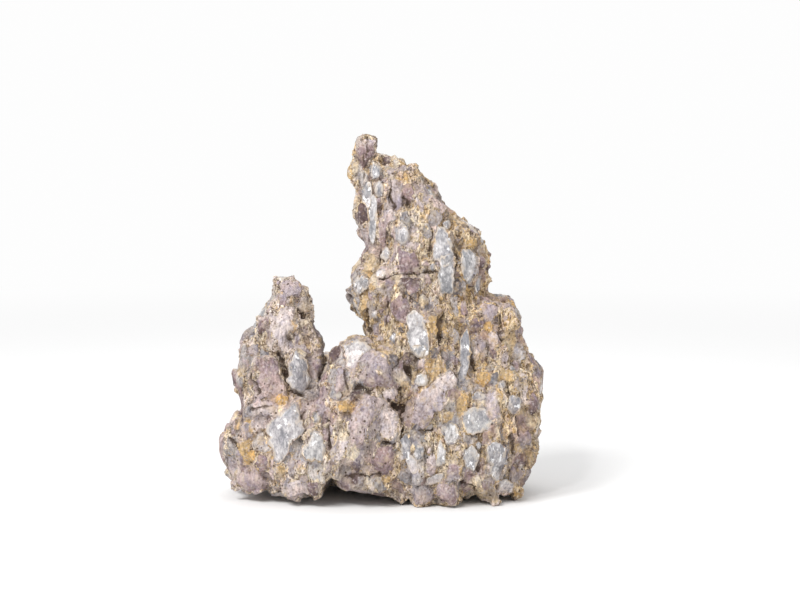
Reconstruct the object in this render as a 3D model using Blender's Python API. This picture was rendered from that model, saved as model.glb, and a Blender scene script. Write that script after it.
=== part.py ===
"""Ibigawa rock: one weathered piece of breccia, a broad foot with a low left pinnacle and a tall leaning tower.

The real stone is angular fragments of quartz and mauve rock, all standing on end in a gritty ochre ground.
It is modelled as one solid. Level sections give its masses, fragments are set into them from the front
as they are seen, smaller and larger ones are scattered over the rest, everything is fused, creases are
cut, and the feet are sliced flat where the stone stands.

All sizes below are in millimetres. The last step turns them into metres.
Front is -Y, right is +X, up is +Z, and the floor is at height 0.
"""

import math
import random

import bmesh
import bpy
from mathutils import Matrix, Vector, noise
from mathutils.bvhtree import BVHTree

METRES_PER_MM = 0.001
SEED = 41

# Mesh fineness
BODY_VOXEL = 2.5
CUTTER_VOXEL = 1.0
FUSED_VOXEL = 1.4
TRIANGLES = 9500
RING_POINTS = 32
FIRST_SOFTENING = 2
SQUARENESS = 2.6
SHARP_ANGLE = 18.0
NEARLY_LEVEL = 0.3

# The stone is set out as seen from straight ahead and a little above.
SIGHT_DROP = math.radians(6.5)
SIGHT_DISTANCE = 1400.0
SIGHT_CENTRE = Vector((13.0, 0.0, 127.2))
DRAWING_CENTRE = (13.0, 135.0)

# Level sections of each mass: height, left, right, front, back
BASE = [
    (3, -84, 93, -40, 34),
    (6, -91.5, 96.5, -46, 40),
    (10, -97, 97.5, -50, 43),
    (16, -100.5, 98.5, -54, 46),
    (23, -103, 100.5, -56, 48),
    (31, -106, 103, -56, 48),
    (37, -109, 105, -55, 47),
    (42, -109.5, 105, -54, 46),
    (47, -101, 105.5, -53, 45),
    (52, -94, 105, -51, 44),
    (60, -89, 105, -48, 42),
    (70, -84, 103, -44, 40),
    (78, -74, 96, -36, 34),
]
LEFT_PINNACLE = [
    (50, -90, -36, -42, 34),
    (62, -88, -36, -41, 32),
    (66, -89.5, -36, -40, 31),
    (72, -95, -37, -39, 29),
    (82, -95, -38, -36, 27),
    (92, -94, -39, -33, 25),
    (99, -93, -41.5, -30, 23),
    (105, -89.5, -42.5, -28, 22),
    (109, -84.5, -44, -27, 21),
    (115, -83, -47, -24, 19),
    (122, -81, -47.5, -22, 17),
    (128, -75.5, -48, -20, 16),
    (133, -70.5, -49, -18, 15),
    (138, -72, -50.5, -16, 14),
    (142, -75, -52.5, -14, 12),
    (146, -75, -56, -11, 9),
    (149.5, -71, -58, -7, 5),
]
TOWER = [
    (56, -4, 80, -49, 43),
    (70, -5, 78, -47, 41),
    (85, -6, 74, -43, 38),
    (98, -8, 70, -39, 35),
    (108, -9.5, 68, -36, 33),
    (113, -9.5, 67, -34, 32),
    (120, -12, 67, -33, 32),
    (129, -18, 67, -32, 32),
    (140, -20, 68, -31, 33),
    (146, -21, 70, -30, 33),
    (152, -17.5, 71, -29, 32),
    (158, -12, 71, -28, 31),
    (164, -8.5, 70.5, -27, 31),
    (170, -9, 68, -26, 30),
    (176, -12, 65.5, -25, 29),
    (182, -14.5, 59, -23, 28),
    (186, -16, 51, -21, 27),
    (192, -18, 45, -19, 26),
    (199, -16, 40, -17, 25),
    (205, -15, 37.5, -15, 23),
    (209, -14.5, 34.5, -14, 22),
    (213, -16, 29, -12, 20),
    (219, -17.5, 21, -10, 18),
    (222.5, -17, 15, -8, 16),
    (225.5, -15, 11, -5, 13),
]
TOP_FINGER = [
    (212, -17.5, 0, -9, 12),
    (222, -18.5, 0, -8, 11),
    (230, -16.5, 1, -7, 10),
    (237, -15.5, 1, -6, 10),
    (241, -14, 0, -4, 9),
    (243.5, -11.5, -6, -1, 6),
]
MIDDLE_HUMP = [
    (46, -44, 14, -57, 8),
    (64, -43, 14, -57, 7),
    (80, -41, 13, -55, 6),
    (89.5, -39, 12, -53, 4),
    (95, -36, 11, -51, 2),
    (99.5, -31, 6, -48, 0),
    (103.5, -26, -1, -44, -5),
    (108, -20, -8, -39, -14),
]
RIGHT_SHOULDER = [
    (34, 40, 104, -47, 42),
    (48, 42, 105.5, -45, 41),
    (57, 44, 106.5, -43, 40),
    (66, 45, 106, -41, 38),
    (74, 46, 108.5, -39, 36),
    (82, 46, 109.5, -38, 35),
    (87, 46, 103, -37, 34),
    (92, 46, 98.5, -35, 33),
    (101, 47, 97, -33, 31),
    (108, 48, 93.5, -31, 29),
    (118, 50, 92.5, -28, 27),
    (125, 55, 92.5, -25, 24),
    (130, 60, 90, -21, 20),
    (133.5, 67, 84, -15, 14),
    (135.5, 74, 82, -8, 8),
]
REAR_BUTTRESS = [
    (4, -66, -8, 10, 47),
    (16, -70, -4, 10, 53),
    (34, -68, -6, 8, 54),
    (50, -62, -12, 6, 49),
    (66, -54, -18, 4, 41),
    (76, -46, -24, 6, 33),
]
REAR_RIB = [
    (6, 26, 66, 16, 48),
    (24, 22, 70, 16, 52),
    (52, 26, 66, 14, 50),
    (80, 28, 60, 12, 46),
    (104, 30, 54, 10, 42),
    (124, 32, 48, 10, 37),
    (134, 36, 44, 12, 32),
]
MASSES = [BASE, LEFT_PINNACLE, TOWER, TOP_FINGER, MIDDLE_HUMP, RIGHT_SHOULDER, REAR_BUTTRESS, REAR_RIB]

# Hollows: centre, then half sizes. The first row is under the front edge, the rest are in the flanks and back.
HOLLOWS = [
    ((-31, -40, 2), (10.5, 44, 19)),
    ((-14, -46, 0), (20, 30, 9)),
    ((8, -50, 0), (12, 26, 5)),
    ((62, -54, -1), (9, 24, 6.5)),
    ((-78, -30, -3), (12, 30, 7)),
    ((12, -60, 98), (4.5, 22, 16)),
    ((-86, -52, 71), (20, 12, 3)),
    ((-98, 48, 30), (26, 16, 34)),
    ((106, 46, 60), (20, 14, 60)),
    ((4, 66, 70), (18, 20, 50)),
    ((86, 60, 34), (16, 14, 40)),
    ((-30, 34, 100), (22, 20, 30)),
    ((10, 44, 152), (14, 16, 12)),
    ((112, -52, 60), (12, 14, 50)),
]

# Lumps that the stone stands on: x, y, half width, half depth, height
FEET = [
    (-56.5, -24, 8, 9, 20),
    (-44.5, -19, 6, 8, 18),
    (27, -41, 9, 8, 17),
    (46, -42, 8.5, 8, 20),
    (74.5, -40, 4.2, 6, 14),
    (90, -22, 4.5, 7, 14),
    (-46, 40, 11, 9, 16),
    (28, 36, 12, 10, 16),
    (72, 26, 9, 9, 14),
]
FOOT_SINK = 2.5

# Fragments seen on the front: x, height, half width, half height, lean to the right in degrees, stand-out
TOWER_FRAGMENTS = [
    (-9.5, 235, 6, 8.5, 2, -0.4),
    (-4, 227, 4, 6.5, 0, 1.2),
    (-17, 225, 4, 6, 8, 1.0),
    (-9, 211, 4, 9, -3, 1.0),
    (0, 213, 4.5, 8, 2, 1.2),
    (-5, 195, 3, 15, -3, 1.0),
    (-11.5, 199, 5, 10, -20, 1.6),
    (7.5, 216, 3.5, 14, -14, 2.6),
    (18, 214, 5.5, 10, -6, 1.8),
    (19, 228, 6, 5, 0, 1.0),
    (27, 203, 4.5, 10, -14, 1.4),
    (35, 212, 5, 7, -30, 1.2),
    (8, 196, 5, 5, 0, 1.2),
    (1, 186, 3.5, 10, 0, 1.2),
    (15, 183, 6, 7.5, 0, 2.4),
    (41, 196, 6, 6, -30, 1.2),
    (19, 166, 9.5, 11.5, 3, 2.4),
    (4, 169, 4, 6.5, 4, 1.8),
    (43, 168, 6.5, 20, -8, 2.2),
    (57, 162, 7.5, 11, -8, 2.2),
    (59, 178, 6, 6, -30, 1.8),
    (52, 146, 4, 6, 0, 1.4),
    (-15, 152, 7, 9, 4, 1.6),
    (-5, 174, 5.5, 6, 0, 1.2),
    (22, 148, 9, 7.5, 0, 1.8),
    (13, 134, 6, 9, 6, 1.4),
    (58.5, 182, 5, 6, -30, 0.5),
]
MIDDLE_FRAGMENTS = [
    (24, 121, 7.5, 11, -6, 2.2),
    (25, 105, 8, 6.5, 0, 1.6),
    (35.5, 103, 4.5, 6, 0, 0.6),
    (36, 122, 4, 9, 0, 2.0),
    (45, 118, 4.5, 13, 0, 2.0),
    (56, 100, 4.5, 18.5, 3, 2.4),
    (72, 132, 8.5, 8.5, 0, 2.6),
    (61, 125, 6.5, 8, 0, 1.8),
    (76, 114, 5, 6.5, 0, 1.6),
    (86.5, 126, 5.5, 9, 0, 1.0),
    (30, 62, 8.5, 8.5, 20, 3.0),
    (40, 77, 7.5, 11, 38, 3.0),
    (-2, 92, 11.5, 12, -20, 3.0),
    (-17, 106, 8.5, 10, 12, 2.6),
    (-30, 103, 5.5, 10, 36, 2.2),
    (-26, 86, 5.5, 8, 14, 1.8),
    (7, 76, 7.5, 7, 0, 2.6),
    (6, 54, 7.5, 12, 0, 3.0),
    (3, 33, 9, 9, 0, 2.6),
    (-11, 59, 9, 17, 14, 3.0),
    (-24, 67, 4, 4, 0, 2.6),
    (-18, 75, 6, 4, 20, 1.8),
    (-25, 40, 10, 12, 8, 2.2),
    (-15, 31, 6.5, 8, 0, 1.8),
    (76, 90, 6, 7, 0, 1.2),
    (93, 104, 6, 8, -18, 1.6),
    (59, 56, 7.5, 7, 0, 1.8),
    (52, 42, 6, 9, 0, 1.4),
    (41, 34, 5, 9, 10, 2.0),
    (26, 38, 6, 7, 0, 1.4),
    (75, 37, 6, 9, 0, 1.6),
    (84, 38, 4, 6, 0, 1.4),
    (47, 24, 9, 9, 0, 2.2),
    (75, 64, 6, 9, 0, 1.6),
    (90, 70, 7, 9, 0, 1.4),
    (64, 78, 7, 6, 0, 1.4),
    (97, 46, 6, 12, 10, 2.2),
    (101, 65, 6, 11, 4, 2.0),
    (105, 88, 5, 8, 0, 1.6),
    (28, 8, 9, 8, 0, 2.0),
    (45, 10, 8.5, 9.5, 0, 2.6),
    (68, 16, 8, 9, 0, 1.6),
    (86, 18, 7, 11, 0, 1.4),
    (-2, 15, 12, 6, 0, 1.6),
]
LEFT_FRAGMENTS = [
    (-45, 42, 8, 13, 8, 2.6),
    (-63, 51, 11.5, 20, 6, 2.8),
    (-77, 87, 10.5, 15, 4, 3.0),
    (-56, 94, 9, 16, 0, 2.2),
    (-66, 119, 7, 15, 16, 2.4),
    (-61, 145.5, 10, 7.5, -4, 1.8),
    (-50, 134, 7, 10, -8, 2.0),
    (-70, 146, 4, 4, 0, 0.4),
    (-76, 66, 11.5, 7.5, -6, 2.2),
    (-80, 51, 7, 10, -10, 1.6),
    (-88, 42, 5.5, 16, -16, 2.0),
    (-100, 44, 7, 9, -10, 1.8),
    (-86, 17, 14, 9, -16, 2.6),
    (-79, 30, 8, 7, 0, 1.8),
    (-67, 28, 5, 5, 0, 1.8),
    (-57, 11, 8, 8, 0, 1.8),
    (-44, 13, 6, 8, 0, 1.6),
    (-40, 66, 7, 11, 6, 1.8),
    (-90, 100, 6, 12, 6, 1.6),
    (-93, 86, 6, 10, 6, 1.6),
    (-78, 121, 6, 10, 14, 1.4),
    (-46, 112, 5, 10, -18, 1.6),
    (-96, 62, 6, 7, 30, 1.2),
]
FRONT_FRAGMENTS = TOWER_FRAGMENTS + MIDDLE_FRAGMENTS + LEFT_FRAGMENTS

# Dark creases seen on the front: from x, height, to x, height, half width, depth
CREASES = [
    (0, 153.5, 11, 156, 1.6, 5),
    (11, 156, 28, 157, 1.3, 3),
    (28, 157, 37, 158, 1.6, 6),
    (-9, 158, 0, 157, 1.2, 2.5),
    (41, 130, 39.5, 109, 1.2, 6),
    (5, 219, 9, 201, 2.0, 5),
    (14, 210, 20, 201, 2.2, 5),
    (15, 112, 12, 98, 2.4, 6),
    (16, 98, 20, 86, 2.6, 7),
    (12, 96, 9, 92, 3.0, 5),
    (-15, 81, -6, 78, 2.8, 7),
    (5, 70, 13, 66, 2.2, 6),
    (14, 80, 14, 44, 2.2, 4),
    (26, 51, 34, 52, 2.6, 5),
    (1, 43, 9, 42, 1.8, 4),
    (64, 38, 66, 24, 2.4, 5),
    (87, 48, 91, 34, 2.4, 5),
    (-69, 105, -62, 82, 2.2, 6),
    (-62, 80, -52, 77, 2.0, 5),
    (-38, 104, -41, 80, 2.2, 5),
    (-54, 132, -50, 122, 2.2, 3),
    (-100, 47, -97, 41, 2.4, 4),
    (50, 96, 51, 106, 1.6, 4),
    (62, 103, 63, 96, 1.8, 4),
    (-10, 132, -8, 118, 2.0, 5),
    (-7, 232, -9, 227, 1.6, 3),
    (-36, 58, -34, 34, 1.8, 4),
    (-52, 64, -53, 44, 1.6, 3.5),
    (-22, 20, 0, 22, 2.0, 3),
    (53, 17, 62, 10, 2.0, 3),
]

# Shape of an angular chunk, for half sizes of 1: corners around its waist, how blocky and uneven it is,
# the size and slant of its face, the low ridge on the face, where the waist is, and its buried end
CHUNK_CORNERS = (5, 8)
CHUNK_BLOCKINESS = 3.0
CHUNK_UNEVENNESS = (0.86, 1.12)
CHUNK_CORNER_DRIFT = 0.3
CHUNK_FACE = (0.55, 0.85)
CHUNK_SLANT = 0.42
RIDGE_CORNERS = 3
RIDGE_SIZE = (0.15, 0.45)
RIDGE_DEPTH = -1.15
CHUNK_WAIST = (-0.3, 0.1)
CHUNK_TAIL = 0.5
CHUNK_THICKNESS = 0.8

# How far the fragments on the front are turned to the eye, and how proud they stand for the number given
TURNED_TO_EYE = 0.8
STAND_OUT_GAIN = 1.5
STAND_OUT_EXTRA = 1.2

# Creases are cut by chains of wedges: length of one wedge, how far it starts in front of the skin,
# widths at the mouth and the bottom, narrowing at the two ends, and unevenness
WEDGE_LENGTH = 7.0
WEDGE_MOUTH = 4.0
WEDGE_MOUTH_WIDTH = 1.3
WEDGE_BOTTOM_WIDTH = 0.45
WEDGE_END = 0.55
WEDGE_UNEVENNESS = (0.75, 1.2)

# Fragments scattered over the whole stone: the uneven grid, and how near the skin it has to come
SCATTER_LOW = (-112.0, -64.0, 2.0)
SCATTER_COUNTS = (24, 14, 18)
SCATTER_STEP = (9.5, 9.5, 14.0)
SCATTER_JITTER = 0.45
SCATTER_REACH = 4.5

# Their half width, height for that width, lean in degrees and stand-out
SCATTER_WIDTH = (3.6, 8.5)
SCATTER_STRETCH = (1.15, 2.3)
SCATTER_LEAN = 20.0
SCATTER_STAND_OUT = (0.8, 3.6)

# Smaller ones on the front, on tops, and where they would show against the sky
FRONT_FACING = -0.35
FRONT_WIDTH = (2.8, 4.6)
FRONT_STAND_OUT = (1.0, 2.6)
COVERED = 1.25
TOP_FACING = 0.5
TOP_WIDTH = (2.8, 4.6)
OUTLINE_FACING = 0.4
OUTLINE_STAND_OUT = (0.3, 2.0)

# None below the stone or on the two peaks: x from and to, and the height where the peak begins
UNDERSIDE_FACING = -0.1
UNDERSIDE_HEIGHT = 14.0
PEAKS = ((-80, -50, 140), (-30, 10, 230))

# Waviness of the masses: cell size across, cell size up, height of the waves, shift of the pattern
WANDER = (52.0, 60.0, 7.0, 7.3)
LEDGES = (24.0, 26.0, 4.0, 3.6)
FLUTES = (11.0, 40.0, 2.2, 2.1)
BITES = (19.0, 34.0, 11.0, 6.4)
GRAIN = (5.5, 8.0, 0.6, 4.9)
FLUTES_ON_SIDES = 0.4

# Clefts away from the front: the waves that they follow, and how near zero those come in a cleft
CLEFT_WAVES = (19.0, 64.0, 1.0, 11.7)
CLEFT_WIDTH = 0.05
CLEFT_DEPTH = 4.5

STONE_COLOUR = (0.42, 0.35, 0.29, 1.0)


def clear_scene():
    """Empty the scene that this file is opened in."""
    for obj in list(bpy.data.objects):
        bpy.data.objects.remove(obj)


def new_object(name, mesh):
    """Put a mesh in the scene under a name."""
    obj = bpy.data.objects.new(name, mesh)
    bpy.context.scene.collection.objects.link(obj)
    return obj


def bake_modifiers(obj):
    """Replace an object's mesh by what its modifiers make of it."""
    graph = bpy.context.evaluated_depsgraph_get()
    mesh = bpy.data.meshes.new_from_object(obj.evaluated_get(graph))
    obj.modifiers.clear()
    obj.data = mesh


def fuse(obj, voxel):
    """Make one closed skin around everything in the object."""
    modifier = obj.modifiers.new("fuse", "REMESH")
    modifier.mode = "VOXEL"
    modifier.voxel_size = voxel
    bake_modifiers(obj)


def section_ring(height, left, right, front, back):
    """Points of one level section, a rounded box that touches its four limits."""
    middle = Vector(((left + right) / 2, (front + back) / 2, height))
    half_width = (right - left) / 2
    half_depth = (back - front) / 2
    points = []
    for i in range(RING_POINTS):
        turn = math.tau * i / RING_POINTS
        across = math.copysign(abs(math.cos(turn)) ** (2 / SQUARENESS), math.cos(turn))
        along = math.copysign(abs(math.sin(turn)) ** (2 / SQUARENESS), math.sin(turn))
        points.append(middle + Vector((half_width * across, half_depth * along, 0)))
    return points


def add_mass(bm, sections):
    """Skin a stack of level sections, closed at the bottom and the top."""
    rings = [[bm.verts.new(point) for point in section_ring(*section)] for section in sections]
    for lower, upper in zip(rings, rings[1:]):
        for i in range(RING_POINTS):
            j = (i + 1) % RING_POINTS
            bm.faces.new((lower[i], lower[j], upper[j], upper[i]))
    bm.faces.new(reversed(rings[0]))
    bm.faces.new(rings[-1])


def add_ball(bm, centre, half_sizes):
    """Add a smooth ball stretched to its half sizes."""
    made = bmesh.ops.create_icosphere(bm, subdivisions=3, radius=1.0)
    for vert in made["verts"]:
        vert.co = centre + Vector([c * half for c, half in zip(vert.co, half_sizes)])


def add_hull(bm, points):
    """Add the closed solid that is wrapped tightly around some points."""
    corners = [bm.verts.new(point) for point in points]
    wrapped = bmesh.ops.convex_hull(bm, input=corners)
    unused = [item for item in wrapped["geom_interior"] if isinstance(item, bmesh.types.BMVert)]
    bmesh.ops.delete(bm, geom=unused, context="VERTS")


def chunk_ring(corners, depth, size, slant=(0, 0)):
    """Points of one level of a chunk, an uneven blocky outline that may lie at a slant."""
    ring = []
    for turn, reach in corners:
        x, z = math.cos(turn), math.sin(turn)
        blocky = (abs(x) ** CHUNK_BLOCKINESS + abs(z) ** CHUNK_BLOCKINESS) ** (-1 / CHUNK_BLOCKINESS)
        x, z = x * blocky * reach * size, z * blocky * reach * size
        ring.append(Vector((x, depth + slant[0] * x + slant[1] * z, z)))
    return ring


def add_chunk(bm, centre, half_sizes, rng, turn=Matrix.Identity(3)):
    """Add an angular chunk whose flat face looks to its own front, stretched and turned."""
    count = rng.randint(*CHUNK_CORNERS)
    start = rng.uniform(0, math.tau)
    corners = []
    for i in range(count):
        drift = rng.uniform(-CHUNK_CORNER_DRIFT, CHUNK_CORNER_DRIFT)
        corners.append((start + math.tau * (i + drift) / count, rng.uniform(*CHUNK_UNEVENNESS)))
    slant = (rng.uniform(-CHUNK_SLANT, CHUNK_SLANT), rng.uniform(-CHUNK_SLANT, CHUNK_SLANT))
    points = chunk_ring(corners, -1.0, rng.uniform(*CHUNK_FACE), slant)
    points += chunk_ring(corners[:RIDGE_CORNERS], RIDGE_DEPTH, rng.uniform(*RIDGE_SIZE), slant)
    points += chunk_ring(corners, rng.uniform(*CHUNK_WAIST), 1.0)
    points += chunk_ring(corners, 1.0, CHUNK_TAIL)
    stretched = [Vector([c * half for c, half in zip(point, half_sizes)]) for point in points]
    add_hull(bm, [centre + turn @ point for point in stretched])


def make_cutter(name, bm, voxel):
    """Turn overlapping solids into one closed cutter that is hidden from pictures."""
    mesh = bpy.data.meshes.new(name)
    bm.to_mesh(mesh)
    bm.free()
    cutter = new_object(name, mesh)
    fuse(cutter, voxel)
    cutter.hide_render = True
    cutter.display_type = "WIRE"
    return cutter


def carve(body, cutter):
    """Take a cutter's volume out of the body, then throw the cutter away."""
    modifier = body.modifiers.new("carve", "BOOLEAN")
    modifier.operation = "DIFFERENCE"
    modifier.solver = "EXACT"
    modifier.object = cutter
    bake_modifiers(body)
    bpy.data.objects.remove(cutter)


def build_masses():
    """Fuse the masses and the feet into the bare form of the stone."""
    rng = random.Random(SEED)
    body_mesh = bpy.data.meshes.new("ibigawa_rock")
    bm = bmesh.new()
    for sections in MASSES:
        add_mass(bm, sections)
    bm.to_mesh(body_mesh)
    bm.free()
    body = new_object("ibigawa_rock", body_mesh)
    fuse(body, BODY_VOXEL)

    hollows = bmesh.new()
    for centre, half_sizes in HOLLOWS:
        add_ball(hollows, Vector(centre), half_sizes)
    carve(body, make_cutter("hollows", hollows, BODY_VOXEL))

    bm = bmesh.new()
    bm.from_mesh(body.data)
    for x, y, half_width, half_depth, height in FEET:
        centre = Vector((x, y, height / 2 - FOOT_SINK))
        half_sizes = (half_width, half_depth, height / 2 + FOOT_SINK)
        add_chunk(bm, centre, half_sizes, rng)
    bm.to_mesh(body.data)
    bm.free()
    fuse(body, BODY_VOXEL)
    return body


def waves(point, kind):
    """Smooth waves over the stone, whose cells stand on end as its grain does."""
    across, up, height, shift = kind
    return noise.noise(Vector((point.x / across + shift, point.y / across, point.z / up))) * height


def soften(bm, rounds):
    """Take the steps out of the stacked sections."""
    for _ in range(rounds):
        bmesh.ops.smooth_vert(
            bm, verts=bm.verts, factor=0.5, use_axis_x=True, use_axis_y=True, use_axis_z=True
        )


def weather_masses(body):
    """Give the bare form its slow waves, ledges and upright flutes, and bites out of its flanks."""
    bm = bmesh.new()
    bm.from_mesh(body.data)
    soften(bm, FIRST_SOFTENING)
    bm.normal_update()
    moved = []
    for vert in bm.verts:
        facing = abs(vert.normal.y)
        push = (waves(vert.co, WANDER) + waves(vert.co, LEDGES)) * facing
        push += waves(vert.co, FLUTES) * (FLUTES_ON_SIDES + (1 - FLUTES_ON_SIDES) * facing)
        push -= max(0.0, waves(vert.co, BITES)) * (1 - facing)
        moved.append(vert.co + vert.normal * push)
    for vert, place in zip(bm.verts, moved):
        vert.co = place
    bm.to_mesh(body.data)
    bm.free()


def sight_axes():
    """The direction looked in, and the direction that is up in the drawing."""
    ahead = Vector((0, math.cos(SIGHT_DROP), -math.sin(SIGHT_DROP)))
    up = Vector((0, math.sin(SIGHT_DROP), math.cos(SIGHT_DROP)))
    return ahead, up


def sight_line(x, height):
    """Where the eye is, and the direction in which it sees a place in the drawing."""
    ahead, up = sight_axes()
    eye = SIGHT_CENTRE - ahead * SIGHT_DISTANCE
    across = Vector((1, 0, 0)) * (x - DRAWING_CENTRE[0])
    target = SIGHT_CENTRE + across + up * (height - DRAWING_CENTRE[1])
    return eye, (target - eye).normalized()


def drawn_place(point):
    """The place in the drawing, x and height, at which a point of the stone is seen."""
    ahead, up = sight_axes()
    offset = point - SIGHT_CENTRE
    scale = SIGHT_DISTANCE / (SIGHT_DISTANCE + offset.dot(ahead))
    return DRAWING_CENTRE[0] + offset.x * scale, DRAWING_CENTRE[1] + offset.dot(up) * scale


def add_fragment(bm, place, normal, half_width, half_height, lean, stand_out, rng):
    """Set one angular fragment into the surface, long side up and leaning to the right by lean."""
    upright = Matrix.Rotation(math.radians(lean), 3, "Y") @ Vector((0, 0, 1))
    long_side = upright - normal * upright.dot(normal)
    if long_side.length < NEARLY_LEVEL:
        long_side = normal.orthogonal()
    long_side.normalize()
    short_side = normal.cross(long_side) * -1
    turn = Matrix((short_side, -normal, long_side)).transposed()
    thickness = CHUNK_THICKNESS * min(half_width, half_height)
    centre = place - normal * (thickness - stand_out)
    add_chunk(bm, centre, (half_width, thickness, half_height), rng, turn)


def add_front_fragments(bm, tree):
    """Set in the fragments that are seen on the front."""
    for number, (x, height, half_width, half_height, lean, stand_out) in enumerate(FRONT_FRAGMENTS):
        eye, direction = sight_line(x, height)
        place, normal, _, _ = tree.ray_cast(eye, direction)
        if place is None:
            continue
        facing = (normal - direction * TURNED_TO_EYE).normalized()
        proud = stand_out * STAND_OUT_GAIN + STAND_OUT_EXTRA
        rng = random.Random(SEED + number)
        add_fragment(bm, place, facing, half_width, half_height, lean, proud, rng)


def is_covered(place):
    """Whether a place on the front already has one of the fragments that are seen there."""
    x, height = drawn_place(place)
    for fragment_x, fragment_height, half_width, half_height, _, _ in FRONT_FRAGMENTS:
        across = (x - fragment_x) / half_width
        up = (height - fragment_height) / half_height
        if across * across + up * up < COVERED:
            return True
    return False


def is_left_bare(place, normal):
    """Whether a place is below the stone or on one of its peaks."""
    if normal.z < UNDERSIDE_FACING and place.z < UNDERSIDE_HEIGHT:
        return True
    return any(left < place.x < right and place.z > height for left, right, height in PEAKS)


def scatter_cells():
    """Each cell of an uneven grid around the stone: a place in it, and its own run of chance."""
    number = SEED * SEED
    for i in range(SCATTER_COUNTS[0]):
        for j in range(SCATTER_COUNTS[1]):
            for k in range(SCATTER_COUNTS[2]):
                number += 1
                rng = random.Random(number)
                place = [
                    low + step * (n + rng.uniform(-SCATTER_JITTER, SCATTER_JITTER))
                    for low, step, n in zip(SCATTER_LOW, SCATTER_STEP, (i, j, k))
                ]
                yield Vector(place), rng


def add_scattered_fragments(bm, tree):
    """Set fragments into the skin wherever the grid comes near it, small ones on the front."""
    ahead, _ = sight_axes()
    for place, rng in scatter_cells():
        near, normal, _, distance = tree.find_nearest(place)
        on_front = normal.y < FRONT_FACING
        if distance > SCATTER_REACH or is_left_bare(near, normal):
            continue
        if on_front and is_covered(near):
            continue
        width = FRONT_WIDTH if on_front else SCATTER_WIDTH
        if normal.z > TOP_FACING:
            width = TOP_WIDTH
        proud = FRONT_STAND_OUT if on_front else SCATTER_STAND_OUT
        if abs(normal.dot(ahead)) < OUTLINE_FACING:
            proud = OUTLINE_STAND_OUT
        half_width = rng.uniform(*width)
        half_height = half_width * rng.uniform(*SCATTER_STRETCH)
        lean = rng.uniform(-SCATTER_LEAN, SCATTER_LEAN)
        add_fragment(bm, near, normal, half_width, half_height, lean, rng.uniform(*proud), rng)


def add_fragments(body):
    """Set all the fragments in, and fuse them with the stone."""
    bm = bmesh.new()
    bm.from_mesh(body.data)
    bm.normal_update()
    tree = BVHTree.FromBMesh(bm)
    add_front_fragments(bm, tree)
    add_scattered_fragments(bm, tree)
    bm.to_mesh(body.data)
    bm.free()
    fuse(body, FUSED_VOXEL)


def wedge_end(tree, spot, aside, half_width, depth):
    """Corners of one end of a wedge: two in front of the skin and two behind it."""
    eye, direction = sight_line(spot.x, spot.y)
    place, _, _, _ = tree.ray_cast(eye, direction)
    if place is None:
        return []
    _, up = sight_axes()
    sideways = Vector((1, 0, 0)) * aside.x + up * aside.y
    mouth = place - direction * WEDGE_MOUTH
    bottom = place + direction * depth
    to_mouth = sideways * half_width * WEDGE_MOUTH_WIDTH
    to_bottom = sideways * half_width * WEDGE_BOTTOM_WIDTH
    return [mouth + to_mouth, mouth - to_mouth, bottom + to_bottom, bottom - to_bottom]


def crease_wedges(bm, tree, rng):
    """Add a chain of wedges along each crease, wide at the skin and narrow at the bottom."""
    for x1, h1, x2, h2, half_width, depth in CREASES:
        along = Vector((x2 - x1, h2 - h1))
        aside = Vector((-along.y, along.x)).normalized()
        steps = max(1, round(along.length / WEDGE_LENGTH))
        ends = []
        for i in range(steps + 1):
            drift = rng.uniform(-half_width, half_width) / 2
            spot = Vector((x1, h1)) + along * (i / steps) + aside * drift
            fade = WEDGE_END if i in (0, steps) else 1.0
            width = half_width * fade * rng.uniform(*WEDGE_UNEVENNESS)
            ends.append(wedge_end(tree, spot, aside, width, depth * fade))
        for first, second in zip(ends, ends[1:]):
            if first or second:
                add_hull(bm, first + second)


def cut_creases(body):
    """Cut the creases that are seen on the front."""
    rng = random.Random(SEED + 2)
    bm = bmesh.new()
    bm.from_mesh(body.data)
    tree = BVHTree.FromBMesh(bm)
    bm.free()
    wedges = bmesh.new()
    crease_wedges(wedges, tree, rng)
    carve(body, make_cutter("creases", wedges, CUTTER_VOXEL))


def cleft_depth(point):
    """How deep the upright clefts cut in where no crease is drawn."""
    nearness = 1 - abs(waves(point, CLEFT_WAVES)) / CLEFT_WIDTH
    return CLEFT_DEPTH * max(0.0, nearness)


def roughen(body):
    """Roughen the skin and part it along upright clefts away from the front."""
    bm = bmesh.new()
    bm.from_mesh(body.data)
    bm.normal_update()
    moved = []
    for vert in bm.verts:
        push = waves(vert.co, GRAIN)
        if vert.normal.y > FRONT_FACING:
            push -= cleft_depth(vert.co)
        moved.append(vert.co + vert.normal * push)
    for vert, place in zip(bm.verts, moved):
        vert.co = place
    bm.to_mesh(body.data)
    bm.free()
    fuse(body, FUSED_VOXEL)


def keep_largest_body(bm):
    """Delete loose crumbs, if cutting has left any."""
    unseen = set(bm.verts)
    bodies = []
    while unseen:
        start = unseen.pop()
        found = {start}
        front = [start]
        while front:
            vert = front.pop()
            for edge in vert.link_edges:
                other = edge.other_vert(vert)
                if other in unseen:
                    unseen.remove(other)
                    found.add(other)
                    front.append(other)
        bodies.append(found)
    bodies.sort(key=len)
    for crumbs in bodies[:-1]:
        bmesh.ops.delete(bm, geom=list(crumbs), context="VERTS")


def simplify(body):
    """Bring the skin down to the number of triangles that the solid may have."""
    body.data.calc_loop_triangles()
    modifier = body.modifiers.new("simplify", "DECIMATE")
    modifier.ratio = TRIANGLES / len(body.data.loop_triangles)
    modifier.use_collapse_triangulate = True
    bake_modifiers(body)


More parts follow.
